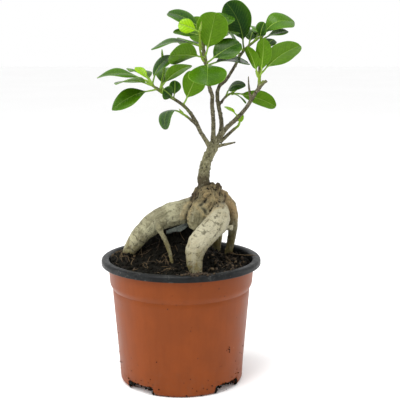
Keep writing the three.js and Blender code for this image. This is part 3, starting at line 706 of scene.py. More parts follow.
def line_points(start, end, steps):
    """Points from start up to but without end."""
    return [tuple(a + (b - a) * i / steps for a, b in zip(start, end)) for i in range(steps)]


def polar(reach, angle):
    return reach * math.cos(angle), reach * math.sin(angle)


def arc_points(centre, radius, start, end, steps):
    angles = [math.radians(start + (end - start) * i / steps) for i in range(steps)]
    return [(centre[0] + radius * math.cos(a), centre[1] + radius * math.sin(a)) for a in angles]


def wall_points(inset):
    """The wall from the middle of the floor to the top of the collar, in mm."""
    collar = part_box("pot")[1].x / MM - LIP_ROOM
    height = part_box("pot")[1].z / MM
    foot = FOOT_RADIUS + FOOT_ROUND - inset
    wall = WALL_TOP_RADIUS - inset
    neck = COLLAR_FOOT_RADIUS - inset
    ease = 0.35
    bend = (foot + 0.75, CHANNEL_LIFT + 2)
    return (
        line_points((0, inset), (8, inset), 2)
        + line_points((8, inset), (FOOT_RADIUS, inset), 40)
        + arc_points((FOOT_RADIUS, FOOT_ROUND), FOOT_ROUND - inset, -90, 0, 6)
        + line_points((foot, FOOT_ROUND), bend, 16)
        + line_points(bend, (wall, SHOULDER_FOOT - 1.2), 16)
        + [(wall - ease * 0.4, SHOULDER_FOOT - 0.8), (wall - ease, SHOULDER_FOOT - 0.4),
           (wall - ease * 0.2, SHOULDER_FOOT), (wall + 0.45, SHOULDER_FOOT + 0.9),
           (wall + 1.15, SHOULDER_FOOT + 2.1), (neck - 0.3, SHOULDER_TOP - 0.9),
           (neck, SHOULDER_TOP + 0.3)]
        + line_points((neck + 0.1, SHOULDER_TOP + 1.5), (collar - inset, height - LIP_DROP), 8)
    )


def lip_points(rim, height):
    """The lip from under it, over its rounded top and down inside: the underside, then the top."""
    collar = rim - LIP_ROOM
    inner, outer, top = collar + LIP_ROUND, rim - LIP_ROUND, height - LIP_ROUND
    under = (
        [(collar, height - LIP_DROP)]
        + arc_points((inner, top), LIP_ROUND - POT_WALL, 180, 90, 5)
        + arc_points((outer, top), LIP_ROUND - POT_WALL, 90, 0, 5)
        + line_points((rim - POT_WALL, top), (rim - POT_WALL, height - LIP_DROP + 0.3), 4)
    )
    over = (
        arc_points((rim - POT_WALL / 2, height - LIP_DROP + 0.3), POT_WALL / 2, 180, 360, 6)
        + line_points((rim, height - LIP_DROP + 0.3), (rim, top), 4)
        + arc_points((outer, top), LIP_ROUND, 0, 90, 8)
        + arc_points((inner - POT_WALL, top), LIP_ROUND, 90, 180, 8)
        + [(collar - POT_WALL, top)]
    )
    return under, over


def channel_lift(x, y):
    """How far the floor is raised at a place in mm, as a share of a channel's height."""
    share = 0
    for turn in CHANNEL_TURNS:
        angle = math.radians(turn - 90)
        reach = x * math.cos(angle) + y * math.sin(angle)
        across = abs(y * math.cos(angle) - x * math.sin(angle))
        outward = eased(reach, HUB_RADIUS, HUB_RADIUS + CHANNEL_EASE)
        inside = eased(across, CHANNEL_HALF + CHANNEL_EASE / 2, CHANNEL_HALF - CHANNEL_EASE / 2)
        share = max(share, outward * inside)
    return share


def drain_cutter():
    bm = bmesh.new()
    for turn in CHANNEL_TURNS:
        angle = math.radians(turn - 90)
        place = Matrix.Translation((*polar(DRAIN_REACH * MM, angle), CHANNEL_HEIGHT * MM))
        bmesh.ops.create_cone(bm, cap_ends=True, segments=32, radius1=DRAIN_RADIUS * MM,
                              radius2=DRAIN_RADIUS * MM, depth=8 * MM, matrix=place)
    return linked("drain_cutter", as_mesh(bm, "drain_cutter"))


def pot_mesh(sizes, finishes):
    """The shell turned from its section, with its floor raised into four channels."""
    rim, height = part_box("pot")[1].x / MM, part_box("pot")[1].z / MM
    under, over = lip_points(rim, height)
    outside = wall_points(0) + under
    section = [(p, 0) for p in outside] + [(p, 1) for p in over + wall_points(POT_WALL)[::-1]]
    bm = bmesh.new()
    skin = bm.verts.layers.float.new("skin")
    verts = []
    for (r, z), side in section:
        vertex = bm.verts.new((r * MM, 0, z * MM))
        vertex[skin] = side
        verts.append(vertex)
    edges = [bm.edges.new(pair) for pair in zip(verts, verts[1:])]
    bmesh.ops.spin(bm, geom=verts + edges, axis=(0, 0, 1), cent=(0, 0, 0), angle=2 * math.pi,
                   steps=sizes.pot_sides, use_merge=True)
    bmesh.ops.remove_doubles(bm, verts=bm.verts, dist=WELD)
    for vertex in bm.verts:
        x, y, z = vertex.co / MM
        if z < CHANNEL_LIFT:
            raised = CHANNEL_HEIGHT * channel_lift(x, y)
            vertex.co.z = (raised + z * (CHANNEL_LIFT - raised) / CHANNEL_LIFT) * MM
        # a moulded shell is never quite round
        swell = 0.12 * MM * noise.noise(Vector((x, y, z * 0.4)) / 34)
        if math.hypot(x, y) > 1:
            vertex.co += Vector((x, y, 0)).normalized() * swell * eased(z, 0, 20)
    bmesh.ops.recalc_face_normals(bm, faces=bm.faces)
    for face in bm.faces:
        face.material_index = 1 if min(v[skin] for v in face.verts) > 0.5 else 0
    mesh = as_mesh(bm, "pot")
    for finish in finishes:
        mesh.materials.append(finish)
    cutter = drain_cutter()
    mesh = applied(mesh, "BOOLEAN", operation="DIFFERENCE", solver="EXACT", object=cutter)
    bpy.data.objects.remove(cutter)
    return mesh


class BONSAI_OT_pot(bpy.types.Operator):
    """Turn the pot with its rolled lip, its collar, its drain channels and its two skins"""

    bl_idname = "bonsai.pot"
    bl_label = "Make Pot"

    def execute(self, context):
        colours = context.scene.bonsai_colours
        finishes = [terracotta_plastic(colours), black_plastic(colours)]
        mesh = pot_mesh(context.scene.bonsai_sizes, finishes)
        piece(mesh, "pot_shell", finishes, "pot", "pot")
        return {"FINISHED"}


# ---------------------------------------------------------------- soil

CRUST_STEPS = 168
CRUST_DEPTH = 2.5
LOWEST_SOIL = 86.3  # the roots' hollows go deeper
# Heaps on the bed: place, height and radius in mm.
HEAPS = [((14, -48), 2, 7), ((-44, -4), 3, 8), ((36, -22), 1.6, 12), ((46, 22), 1.5, 9),
         ((-14, 19), 8.5, 17), ((6, 20), 5, 14), ((-28, 12), 4, 11)]
SPILL = (12, -54.5)  # where crumbs lie on the lip
LIP_EDGE = 59.4
FLAKE = (-2.5, -3, 118.4)
# Dirt on the wall: degrees round from the front, height and spread in mm, and how many.
DIRT = [(46, 33, 1.3, 9), (-52, 8, 4, 8), (60, 9, 5, 9), (-20, 4, 8, 14), (25, 5, 8, 14),
        (-75, 20, 6, 6), (-80, 42, 5, 4), (70, 24, 6, 5), (150, 6, 14, 24), (220, 6, 14, 24),
        (115, 8, 9, 12), (262, 8, 9, 12), (6, 1.4, 0.5, 5)]

SOIL_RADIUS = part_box("soil")[1].x / MM + 0.2
# Tufts of fine roots: place in mm, and how many.
TUFTS = [((-43, -4), 44), ((12, -38), 22), ((-8, -15), 12), ((36, 26), 14)]
STRAND_STEPS = 6
# One pale root that lies over the lip.
LOOSE_ROOT = [(33, 21, 92), (37, 15, 93.4), (42, 9, 93.8), (48, 4.5, 94.2), (54, 1, 95.2),
              (57.5, -0.5, 95.1)]
CHANNEL_CRUMBS = 90
SPILLED_CRUMBS = 130


class Bed:
    """The height of the soil's crust at each place, in mm, on a square net of points."""

    def __init__(self):
        bm = merged_copy("soil")
        tree = BVHTree.FromBMesh(bm)
        bm.free()
        self.half = SOIL_RADIUS + 1
        ticks = np.linspace(-self.half, self.half, CRUST_STEPS + 1)
        heights = np.full((len(ticks), len(ticks)), np.nan)
        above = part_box("soil")[1].z + 0.01
        for i, x in enumerate(ticks):
            for j, y in enumerate(ticks):
                hit = tree.ray_cast(Vector((x * MM, y * MM, above)), Vector((0, 0, -1)))[0]
                if hit and hit.z / MM > LOWEST_SOIL:
                    heights[i, j] = hit.z / MM
        self.heights = self.filled(heights)
        for _ in range(3):
            self.heights = self.around(self.heights).mean(0)

    @staticmethod
    def around(heights):
        """Nine copies of the heights, each moved to one of the neighbours."""
        padded = np.pad(heights, 1, mode="edge")
        rows, columns = heights.shape
        return np.stack([padded[a:a + rows, b:b + columns] for a in range(3) for b in range(3)])

    @staticmethod
    def filled(heights):
        """The heights with the hollows and the outside filled from round them."""
        heights = heights.copy()
        while np.isnan(heights).any():
            ring = Bed.around(heights)
            known = ~np.isnan(ring)
            means = np.where(known, ring, 0).sum(0) / np.maximum(known.sum(0), 1)
            fill = np.isnan(heights) & known.any(0)
            heights[fill] = means[fill]
        return heights

    def level(self, x, y):
        """The height of the crust's top at a place, all in mm."""
        at = [(v + self.half) / (2 * self.half) * CRUST_STEPS for v in (x, y)]
        i, j = (min(CRUST_STEPS - 1, max(0, int(v))) for v in at)
        s, t = at[0] - i, at[1] - j
        h = self.heights
        flat = ((1 - s) * (1 - t) * h[i, j] + s * (1 - t) * h[i + 1, j]
                + (1 - s) * t * h[i, j + 1] + s * t * h[i + 1, j + 1])
        place = Vector((x, y, 0))
        rough = (0.9 * noise.noise(place / 6.5)
                 + 0.55 * noise.noise(place / 2.6 + Vector((9, 0, 0)))
                 + 0.3 * noise.noise(place / 1.3 + Vector((0, 5, 0))))
        heap = sum(h * math.exp(-(((x - mx) ** 2 + (y - my) ** 2) / r ** 2) ** 1.6)
                   for (mx, my), h, r in HEAPS)
        return flat + 0.9 + rough + heap


def wall_radius(height):
    """The radius of the pot's outside at a height above its base, in mm."""
    foot = FOOT_RADIUS + FOOT_ROUND
    if height < FOOT_ROUND:
        return FOOT_RADIUS + math.sqrt(FOOT_ROUND ** 2 - (FOOT_ROUND - height) ** 2)
    return foot + (WALL_TOP_RADIUS - foot) * (height - FOOT_ROUND) / (SHOULDER_FOOT - FOOT_ROUND)


def crust_mesh(bed):
    bm = bmesh.new()
    reach = SOIL_RADIUS * MM
    bmesh.ops.create_grid(bm, x_segments=CRUST_STEPS, y_segments=CRUST_STEPS, size=reach)
    outside = [v for v in bm.verts if math.hypot(v.co.x, v.co.y) > reach]
    bmesh.ops.delete(bm, geom=outside, context="VERTS")
    for vertex in bm.verts:
        vertex.co.z = bed.level(vertex.co.x / MM, vertex.co.y / MM) * MM
    lower = bmesh.ops.extrude_face_region(bm, geom=bm.faces[:], use_keep_orig=True)["geom"]
    moved = [v for v in lower if isinstance(v, bmesh.types.BMVert)]
    bmesh.ops.translate(bm, verts=moved, vec=(0, 0, -CRUST_DEPTH * MM))
    bmesh.ops.recalc_face_normals(bm, faces=bm.faces)
    return bm


def scatter(draw, reach):
    """A place on the bed in mm, evenly over the disc."""
    return polar(reach * math.sqrt(draw.random()), draw.uniform(0, 2 * math.pi))


class Heap:
    """A mesh that small shapes are added to, each with a tone."""

    def __init__(self):
        self.bm = bmesh.new()
        self.bm.verts.layers.float.new("tone")

    def add(self, shape, tone=0.5):
        layer = shape.verts.layers.float.new("tone")
        for vertex in shape.verts:
            vertex[layer] = tone
        mesh = as_mesh(shape, "shape")
        self.bm.from_mesh(mesh)
        bpy.data.meshes.remove(mesh)

    def strand(self, path, radius, sides, tone):
        shape = bmesh.new()
        stem(shape, path, [radius * MM] * len(path), sides)
        self.add(shape, tone)


def add_crumb(heap, draw, place, size, squash=(0.7, 1.1), tone=0.5):
    """One rough crumb of about size, in mm, turned at random."""
    turn = Matrix.Rotation(draw.uniform(0, math.pi), 4, Vector(
        (draw.uniform(-1, 1), draw.uniform(-1, 1), draw.uniform(-1, 1))).normalized())
    scale = Matrix.Diagonal((size * draw.uniform(*squash), size * draw.uniform(*squash), size, 1))
    spot = Matrix.Translation(Vector(place) * MM) @ turn @ scale @ Matrix.Scale(MM, 4)
    shape = bmesh.new()
    bmesh.ops.create_icosphere(shape, subdivisions=1, radius=0.5)
    for vertex in shape.verts:
        vertex.co *= draw.uniform(0.75, 1.2)
    shape.transform(spot)
    heap.add(shape, tone)


def lay_channel_crumbs(heap, draw):
    """Crumbs in the corners and on the sills of the drain channels."""
    for turn in CHANNEL_TURNS:
        for _ in range(CHANNEL_CRUMBS):
            across = draw.choice((-1, 1)) * (CHANNEL_HALF - draw.expovariate(0.3))
            corner = abs(across) > CHANNEL_HALF - 1.5
            height = draw.uniform(0.8, 5) if corner else draw.gauss(CHANNEL_HEIGHT, 0.7)
            reach = math.sqrt(max(0, wall_radius(height) ** 2 - across ** 2)) - 0.3
            angle = math.radians(turn - 90)
            x = reach * math.cos(angle) - across * math.sin(angle)
            y = reach * math.sin(angle) + across * math.cos(angle)
            add_crumb(heap, draw, (x, y, max(0.7, height)), draw.uniform(0.6, 1.9))


def lay_dirt(heap, draw):
    """Specks of soil that have dried on the outside of the pot."""
    for turn, height, spread, count in DIRT:
        for _ in range(count):
            up = max(1, height + draw.gauss(0, spread))
            angle = math.radians(turn - 90 + draw.gauss(0, spread))
            place = (*polar(wall_radius(up), angle), up)
            add_crumb(heap, draw, place, draw.uniform(0.4, 1.1))


def crumbs_mesh(bed, count):
    """Loose crumbs over the bed, in the drain channels and on the pot's outside."""
    draw = Random(CRUMB_SEED)
    heap = Heap()
    for _ in range(count):
        x, y = scatter(draw, SOIL_RADIUS - 1)
        size = draw.choice((0.7, 0.9, 1.2, 1.2, 1.6, 2.2, 3.1))
        place = (x, y, bed.level(x, y) + 0.15 * size)
        add_crumb(heap, draw, place, size * draw.uniform(0.8, 1.2))
    lay_channel_crumbs(heap, draw)
    lay_dirt(heap, draw)
    return heap.bm


def dry_flake():
    """A curled flake of dry skin that hangs under the left leg."""
    bm = bmesh.new()
    bmesh.ops.create_grid(bm, x_segments=14, y_segments=6, size=0.5)
    for vertex in bm.verts:
        s, t = vertex.co.x, vertex.co.y
        hang = (t - 0.5) * (4 + 0.7 * math.sin(9 * s)) * (1 - 1.2 * s * s)
        bend = 1.6 * math.sin(3 * s + 2 * t) - 2.5 * t
        vertex.co = Vector(FLAKE) * MM + Vector((17 * s, bend, hang + 5.7 * s)) * MM
    bmesh.ops.solidify(bm, geom=bm.faces, thickness=0.4 * MM)
    bmesh.ops.recalc_face_normals(bm, faces=bm.faces)
    return bm


def lay_chips(heap, draw, bed, count):
    """Bark chips on the right of the bed, and crumbs that have spilled over the lip."""
    for _ in range(count):
        x, y = 34 + draw.gauss(0, 9), -8 + draw.gauss(0, 16)
        if math.hypot(x, y) > SOIL_RADIUS - 3:
            x, y = scatter(draw, SOIL_RADIUS - 4)
        add_crumb(heap, draw, (x, y, bed.level(x, y) + 0.6), draw.uniform(1.6, 2.6), (0.5, 2.3),
                  draw.uniform(0.2, 1))
    lip_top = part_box("pot")[1].z / MM
    for _ in range(SPILLED_CRUMBS):
        x, y = SPILL[0] + draw.gauss(0, 5.5), SPILL[1] + draw.gauss(0, 2.4)
        radius = math.hypot(x, y)
        size = draw.uniform(0.7, 1.7)
        top = bed.level(x, y) if radius < SOIL_RADIUS else lip_top - max(0, radius - 58.5)
        if radius < LIP_EDGE:
            add_crumb(heap, draw, (x, y, top + 0.3 * size), size,
                      tone=draw.choice((0.1, 0.25, 0.5)))


def strand_starts(draw, fibres):
    """Where each fibre and fine root starts, its heading, length and radius."""
    starts = []
    for _ in range(fibres):
        x, y = scatter(draw, SOIL_RADIUS - 5)
        starts.append((x, y, draw.uniform(0, 2 * math.pi), draw.uniform(5, 15),
                       draw.uniform(0.13, 0.32)))
    for spot, count in TUFTS:
        for _ in range(count):
            x, y = (c + draw.gauss(0, 3.2) for c in spot)
            starts.append((x, y, draw.uniform(0, 2 * math.pi), draw.uniform(4, 11),
                           draw.uniform(0.12, 0.24)))
    return starts


def strand_path(draw, bed, x, y, heading, reach):
    """A path that wanders over the bed and stays inside the pot."""
    path = []
    limit = SOIL_RADIUS - 0.8
    step = reach / STRAND_STEPS
    for i in range(STRAND_STEPS + 1):
        hop = 0.9 * math.sin(math.pi * i / STRAND_STEPS) * draw.random()
        path.append(Vector((x, y, bed.level(x, y) + 0.25 + hop)) * MM)
        heading += draw.gauss(0, 0.35)
        x, y = x + step * math.cos(heading), y + step * math.sin(heading)
        if math.hypot(x, y) > limit:
            x, y = x * limit / math.hypot(x, y), y * limit / math.hypot(x, y)
    return path


def litter_mesh(bed, sizes):
    """Bark chips, fibres, fine roots round the feet and one pale root that reaches the lip."""
    draw = Random(LITTER_SEED)
    heap = Heap()
    lay_chips(heap, draw, bed, sizes.bark_chips)
    heap.add(dry_flake(), 2)
    for x, y, heading, reach, radius in strand_starts(draw, sizes.fibres):
        path = strand_path(draw, bed, x, y, heading, reach)
        heap.strand(path, radius, 5, draw.choice((0.1, 0.3, 0.5, 0.8, 1)))
    heap.strand([Vector(p) * MM for p in LOOSE_ROOT], 0.42, 7, 1)
    return heap.bm


class BONSAI_OT_soil(bpy.types.Operator):
    """Cover the soil with a rough crust, crumbs of peat, bark chips and fibres"""

    bl_idname = "bonsai.soil"
    bl_label = "Make Soil"

    def execute(self, context):
        sizes, colours = context.scene.bonsai_sizes, context.scene.bonsai_colours
        peat = damp_peat(colours)
        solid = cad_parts["soil"].data
        solid.materials.clear()
        solid.materials.append(peat)
        bed = Bed()
        piece(crust_mesh(bed), "soil_crust", [peat], "soil")
        piece(crumbs_mesh(bed, sizes.crumbs), "soil_crumbs", [peat], "soil")
        piece(litter_mesh(bed, sizes), "bark_and_fibres", [litter(colours)], "soil")
        return {"FINISHED"}


# ---------------------------------------------------------------- roots

LINE_STEP = 1.5


def line_samples():
    """Points along the root lines: place and radius, leg number, and distance along the leg."""
    places, numbers, travels = [], [], []
    for number, points in enumerate(ROOT_LINES.values()):
        travelled = 0
        for a, b in zip(points, points[1:]):
            a, b = Vector(a), Vector(b)
            run = (b - a).to_3d().length
            steps = max(1, round(run / LINE_STEP))
            for i in range(steps):
                places.append(a.lerp(b, i / steps))
                numbers.append(number)
                travels.append(travelled + run * i / steps)
            travelled += run
    return np.array(places), np.array(numbers), np.array(travels)


class RootMap:
    """Where each point of the root lies: on which leg, how far along it, and how near a seam."""

    def __init__(self, mesh):
        self.mesh = mesh
        self.points = mesh_points(mesh) / MM
        places, numbers, travels = line_samples()
        count = len(ROOT_LINES)
        nearest = np.full((len(self.points), count), np.inf)
        best = np.full(len(self.points), np.inf)
        chosen = np.zeros(len(self.points), dtype=int)
        for index, place in enumerate(places):
            away = np.linalg.norm(self.points - place[:3], axis=1) / place[3]
            closer = away < best
            best[closer], chosen[closer] = away[closer], index
            column = nearest[:, numbers[index]]
            np.minimum(column, away, out=column)
        self.leg_of = numbers[chosen]
        # the strut and the belly have grown together with the rest and leave no seam
        legs = list(ROOT_LINES)
        crown, belly = legs.index("crown"), legs.index("belly")
        nearest[:, crown] = np.minimum(nearest[:, crown], nearest[:, belly])
        nearest[:, [belly, legs.index("strut")]] = np.inf
        ordered = np.sort(nearest, axis=1)
        self.seam = self.evened(np.exp(-((ordered[:, 1] - ordered[:, 0]) / 0.075) ** 2), 3)
        offset = self.points - places[chosen, :3]
        shift = np.stack((self.leg_of * 31.7, self.leg_of * 12.3, travels[chosen] * 0.2), axis=1)
        self.grain = relaxed(mesh, offset * [1, 1, 0.55] + shift, 16, shrink=True)
        self.ring = self.evened(travels[chosen], 16)

    def evened(self, values, rounds):
        return relaxed(self.mesh, values.astype(float)[:, None], rounds, shrink=True)[:, 0]

    def on(self, leg):
        return self.evened(self.leg_of == list(ROOT_LINES).index(leg), 20)


def rootstock_mesh(sizes):
    """The solid's net, evened, then ridged along the legs, wrinkled across them, grooved where
    they have grown together and scaly at the crown, with what the finish needs at each point."""
    mesh = as_mesh(merged_copy("rootstock"), "rootstock")
    mesh = applied(mesh, "REMESH", mode="VOXEL", voxel_size=sizes.root_net)
    set_points(mesh, relaxed(mesh, mesh_points(mesh), ROOT_ROUNDS))
    root = RootMap(mesh)
    points, normals = mesh_points(mesh), mesh_normals(mesh)
    heights = points[:, 2] / MM
    patchy = 0.5 + 0.5 * lumps(points, 4 * MM, 1)
    crown = 0.85 * np.clip((heights - 126 - 9 * lumps(points, 6 * MM, 2)) / 20, 0, 1)
    crown *= (1 - 0.7 * root.on("right_leg")) * (1 - 0.85 * root.on("left_leg"))
    crown += 1.3 * sum(near(points, scar, 5.5) for scar in SCARS)
    crown = np.clip(crown + 0.6 * near(points, GRAFT, 11), 0, 1)
    foot = np.clip((115 - heights + 12 * (patchy - 0.5)) / 20, 0, 1)
    front = np.clip(root.on("front_leg") * 1.25, 0, 1)
    tan = np.clip(root.on("right_leg") * 1.3, 0, 1) * np.clip((heights - 112) / 18, 0, 1)
    arm = np.clip(root.on("left_leg") * 1.2, 0, 1)
    shade = np.clip(root.on("right_leg") * 1.3, 0, 1) * np.clip((122 - heights) / 12, 0, 1)
    collar = sum(near(points, scar, 6) for scar in SCARS) + 0.9 * near(points, GRAFT, 9)
    collar = np.clip(collar * (1.5 + 1.2 * lumps(points, 3 * MM, 4)), 0, 1)
    broken = np.clip(0.62 + 1.5 * lumps(points, 6 * MM, 8), 0.12, 1)
    seam = root.seam * broken * np.clip((heights - 100) / 8, 0, 1)

    groove_away = from_grooves(root.points) + 0.9 * lumps(points, 2.5 * MM, 9)
    groove = np.exp(-(groove_away / 1.5) ** 2)
    lips = np.exp(-((groove_away - 3) / 1.3) ** 2)
    seam = np.maximum(seam, 0.9 * groove)
    crown = np.clip(crown + 0.25 * lips, 0, 1)

    ridges = lumps(root.grain * MM, 2.6 * MM, 3)
    folds = np.array([noise.noise(Vector((g[0] * 0.13, g[1] * 0.13, r * 0.7)))
                      for g, r in zip(root.grain, root.ring)])
    flakes = lumps(points * [1, 1, 0.7], 2.6 * MM, 6)
    specks = lumps(points, 1.3 * MM, 7)
    offset = (0.5 * lumps(points, 9 * MM, 5) + 0.3 * ridges * (1 - 0.5 * front)
              + 0.32 * folds * (1 - 0.5 * arm) + crown * (1.1 * flakes + 0.6 * specks)
              + 0.13 * specks - 1.0 * seam + 0.3 * lips)
    points = points + normals * offset[:, None] * MM
    set_points(mesh, relaxed(mesh, points, 2))
    hollow = creases(mesh, 0.6 * MM) * (0.75 + 0.5 * crown)
    sunk = np.clip((93 - heights) / 5, 0, 1) * 0.75 * patchy

    write_attribute(mesh, "grain", root.grain * MM, "FLOAT_VECTOR")
    write_attribute(mesh, "ring", root.ring * MM)
    # painted shade for the finish: the hollows, seams and grooves, and darker low down by the soil
    masks = {"crown": crown, "foot": foot, "light": front * (1 - 0.5 * foot), "tan": tan,
             "arm": arm, "shade": shade, "collar": collar, "lips": lips,
             "painted_shade": np.clip(np.maximum(np.maximum(hollow, sunk), 0.8 * seam), 0, 1)}
    for name, values in masks.items():
        write_attribute(mesh, name, values)
    return mesh


class BONSAI_OT_rootstock(bpy.types.Operator):
    """Give the swollen root its ridges, wrinkles, scars and skin"""

    bl_idname = "bonsai.rootstock"
    bl_label = "Make Rootstock"

    def execute(self, context):
        mesh = rootstock_mesh(context.scene.bonsai_sizes)
        finish = root_bark(context.scene.bonsai_colours)
        piece(mesh, "swollen_root", [finish], "rootstock", "rootstock")
        return {"FINISHED"}


# ---------------------------------------------------------------- trunk and branches

KNOT_COUNT = 120


def leaf_nodes():
    return sorted(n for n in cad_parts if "leaf_" in n)


def grafted_top_mesh(sizes, feet):
    """The branches' net, evened, with knots, leaf scars and a swelling under every leaf."""
    bm = merged_copy("grafted_top")
    lowest = min(v.co.z for v in bm.verts)
    # the trunk's foot goes down into the crown, which it has grown together with
    for vertex in bm.verts:
        vertex.co.z -= 1.5 * MM * eased(vertex.co.z / MM, lowest / MM + 3, lowest / MM)
        vertex.co += 0.12 * MM * vertex.normal
    mesh = as_mesh(bm, "grafted_top")
    mesh = applied(mesh, "REMESH", mode="VOXEL", voxel_size=sizes.twig_net)
    set_points(mesh, relaxed(mesh, mesh_points(mesh), TWIG_ROUNDS))
    points, normals = mesh_points(mesh), mesh_normals(mesh)
    heights = points[:, 2] / MM
    trunk = np.clip((178 - heights) / 10, 0, 1)
    offset = (0.13 + 0.3 * trunk) * lumps(points, 2.4 * MM, 11)
    offset += (0.07 + 0.16 * trunk) * lumps(points, 1.1 * MM, 12)
    offset += 0.5 * trunk * lumps(points, 5 * MM, 13)
    stretched = points * np.array([1, 1, 3.2])
    offset += (0.12 + 0.1 * trunk) * np.clip(lumps(stretched, 3.4 * MM, 14), 0, 1)

    tree = point_tree(points)
    draw = Random(KNOT_SEED)
    knots = [(points[draw.randrange(len(points))], draw.uniform(0.9, 1.5), draw.uniform(0.25, 0.5))
             for _ in range(KNOT_COUNT)]
    knots += [(foot, 1.7, 0.45) for foot in feet]
    green = np.zeros(len(points))
    for place, reach, rise in knots:
        for _, index, away in tree.find_range(place, reach * MM):
            offset[index] += rise * (1 - (away / (reach * MM)) ** 2) ** 2
    for foot in feet:
        for _, index, away in tree.find_range(foot, 5 * MM):
            green[index] = max(green[index], 0.55 * (1 - away / (5 * MM)))
    for end, _ in BUDS:
        for _, index, away in tree.find_range(Vector(end) * MM, 9 * MM):
            green[index] = max(green[index], 1 - away / (9 * MM))
    young = np.clip((points[:, 1] / MM + 13) / -2.5, 0, 1) * (heights > 240)
    set_points(mesh, points + normals * offset[:, None] * MM)
    write_attribute(mesh, "green", np.maximum(green, young))
    # painted shade for the finish, in the hollows and where the twigs meet
    write_attribute(mesh, "painted_shade", creases(mesh, 0.25 * MM) * 0.8)
    return mesh


# How far along a bud each ring lies, as a share, and its radius in mm.
BUD_SHARES = (-0.12, 0, 0.12, 0.3, 0.5, 0.7, 0.86, 0.96, 1)
BUD_WIDTHS = (0, 0.8, 0.95, 1.0, 0.85, 0.6, 0.35, 0.16, 0)
BUD_STEPS = 8


def buds_mesh():
    """Pointed buds wrapped in two scales, one at the end of each twig."""
    bm = bmesh.new()
    tip = bm.verts.layers.float.new("tip")
    draw = Random(BUD_SEED)
    for place, heading in BUDS:
        start = Vector(place) * MM
        ahead = Vector(heading).normalized()
        reach = draw.uniform(5, 7.5) * MM
        lean = ahead.orthogonal() * draw.uniform(-0.8, 0.8) * MM
        path = [start + ahead * reach * s + lean * s * s for s in BUD_SHARES]
        for vertex, station in stem(bm, path, [w * MM for w in BUD_WIDTHS], 10):
            vertex[tip] = station / BUD_STEPS
        for side in (-1, 1):
            across = ahead.orthogonal().normalized() * side * 0.45 * MM
            wrap = [start + ahead * reach * 0.62 * s + across * math.sin(2.4 * s)
                    for s in BUD_SHARES[1:]]
            for vertex, station in stem(bm, wrap, [w * 0.6 * MM for w in BUD_WIDTHS[1:]], 8):
                vertex[tip] = station / BUD_STEPS
    bmesh.ops.recalc_face_normals(bm, faces=bm.faces)
    return bm


class BONSAI_OT_grafted_top(bpy.types.Operator):
    """Give the trunk and the branches their bark, knots and buds"""

    bl_idname = "bonsai.grafted_top"
    bl_label = "Make Trunk And Branches"

    def execute(self, context):
        colours = context.scene.bonsai_colours
        feet = [LeafPlan(node).centres[0] for node in leaf_nodes()]
        mesh = grafted_top_mesh(context.scene.bonsai_sizes, feet)
        piece(mesh, "trunk_and_branches", [twig_bark(colours)], "grafted_top", "grafted_top")
        piece(buds_mesh(), "twig_buds", [bud_green()], "young_leaf")
        return {"FINISHED"}


# ---------------------------------------------------------------- leaves

LEAF_ROUND = 44  # points round a leaf's section
LEAF_RINGS = 72
STALK_SHARE = 0.16
TIP_SHARE = 0.66
_wood = {}


def wood_tree():
    if "tree" not in _wood:
        bm = merged_copy("grafted_top")
        _wood["tree"] = BVHTree.FromBMesh(bm)
        bm.free()
    return _wood["tree"]


class LeafPlan:
    """What a leaf's solid says: its middle line, half width, facing and fold at each station."""

    def __init__(self, node):
        bm = merged_copy(node)
        rings = max((self.levels(v) for v in bm.verts if len(v.link_edges) == 4), key=self.fitness)
        ends = [rings[0][0].co.copy(), rings[-1][0].co.copy()]
        if wood_tree().find_nearest(ends[0])[3] > wood_tree().find_nearest(ends[1])[3]:
            rings.reverse()
        self.read(rings)
        bm.free()

    @staticmethod
    def levels(start):
        """The vertices in rings by their steps from start."""
        rings, seen = [[start]], {start}
        while True:
            step = []
            for vertex in rings[-1]:
                for edge in vertex.link_edges:
                    other = edge.other_vert(vertex)
                    if other not in seen:
                        seen.add(other)
                        step.append(other)
            if not step:
                return rings
            rings.append(step)

    @staticmethod
    def fitness(rings):
        return sum(len(ring) == 4 for ring in rings) + (len(rings[-1]) == 1)

    def read(self, rings):
        inner = [[v.co.copy() for v in ring] for ring in rings[1:-1]]
        # opposite vertices are the farthest pair of the widest ring; others follow the nearest
        widest = max(inner, key=lambda ring: max((a - b).length for a in ring for b in ring))
        pairs = [(a, b) for a in widest for b in widest]
        left, right = max(pairs, key=lambda pair: (pair[0] - pair[1]).length)
        ribs = [p for p in widest if p is not left and p is not right]
        up = (left + right) / 2 - (ribs[0] + ribs[1]) / 2
        top, bottom = sorted(ribs, key=lambda p: -p.dot(up))
        middle = inner.index(widest)
        ordered = [None] * len(inner)
        ordered[middle] = (left, top, right, bottom)
        for sequence in (range(middle + 1, len(inner)), range(middle - 1, -1, -1)):
            last = ordered[middle]
            for index in sequence:
                last = self.matched(last, inner[index])
                ordered[index] = last
        foot, tip = rings[0][0].co.copy(), rings[-1][0].co.copy()
        rows = [(foot, foot, foot, foot), *ordered, (tip, tip, tip, tip)]
        self.centres = np.array([(t + b) / 2 for _, t, _, b in rows])
        self.sides = np.array([(r - l) / 2 for l, _, r, _ in rows])
        ups = [(t - b).normalized() for _, t, _, b in ordered]
        self.ups = np.array([ups[0], *ups, ups[-1]])
        edges = np.array([(l + r) / 2 for l, _, r, _ in rows])
        self.lifts = np.einsum("ij,ij->i", edges - self.centres, self.ups)
        steps = np.linalg.norm(np.diff(self.centres, axis=0), axis=1)
        self.travel = np.concatenate(([0], np.cumsum(steps)))

    @staticmethod
    def matched(last, ring):
        """The ring's vertices in the order that turns them least from last."""
        centre, middle = sum(last, Vector()) / 4, sum(ring, Vector()) / 4
        return max(permutations(ring), key=lambda order: sum(
            (p - centre).dot(q - middle) for p, q in zip(last, order)))


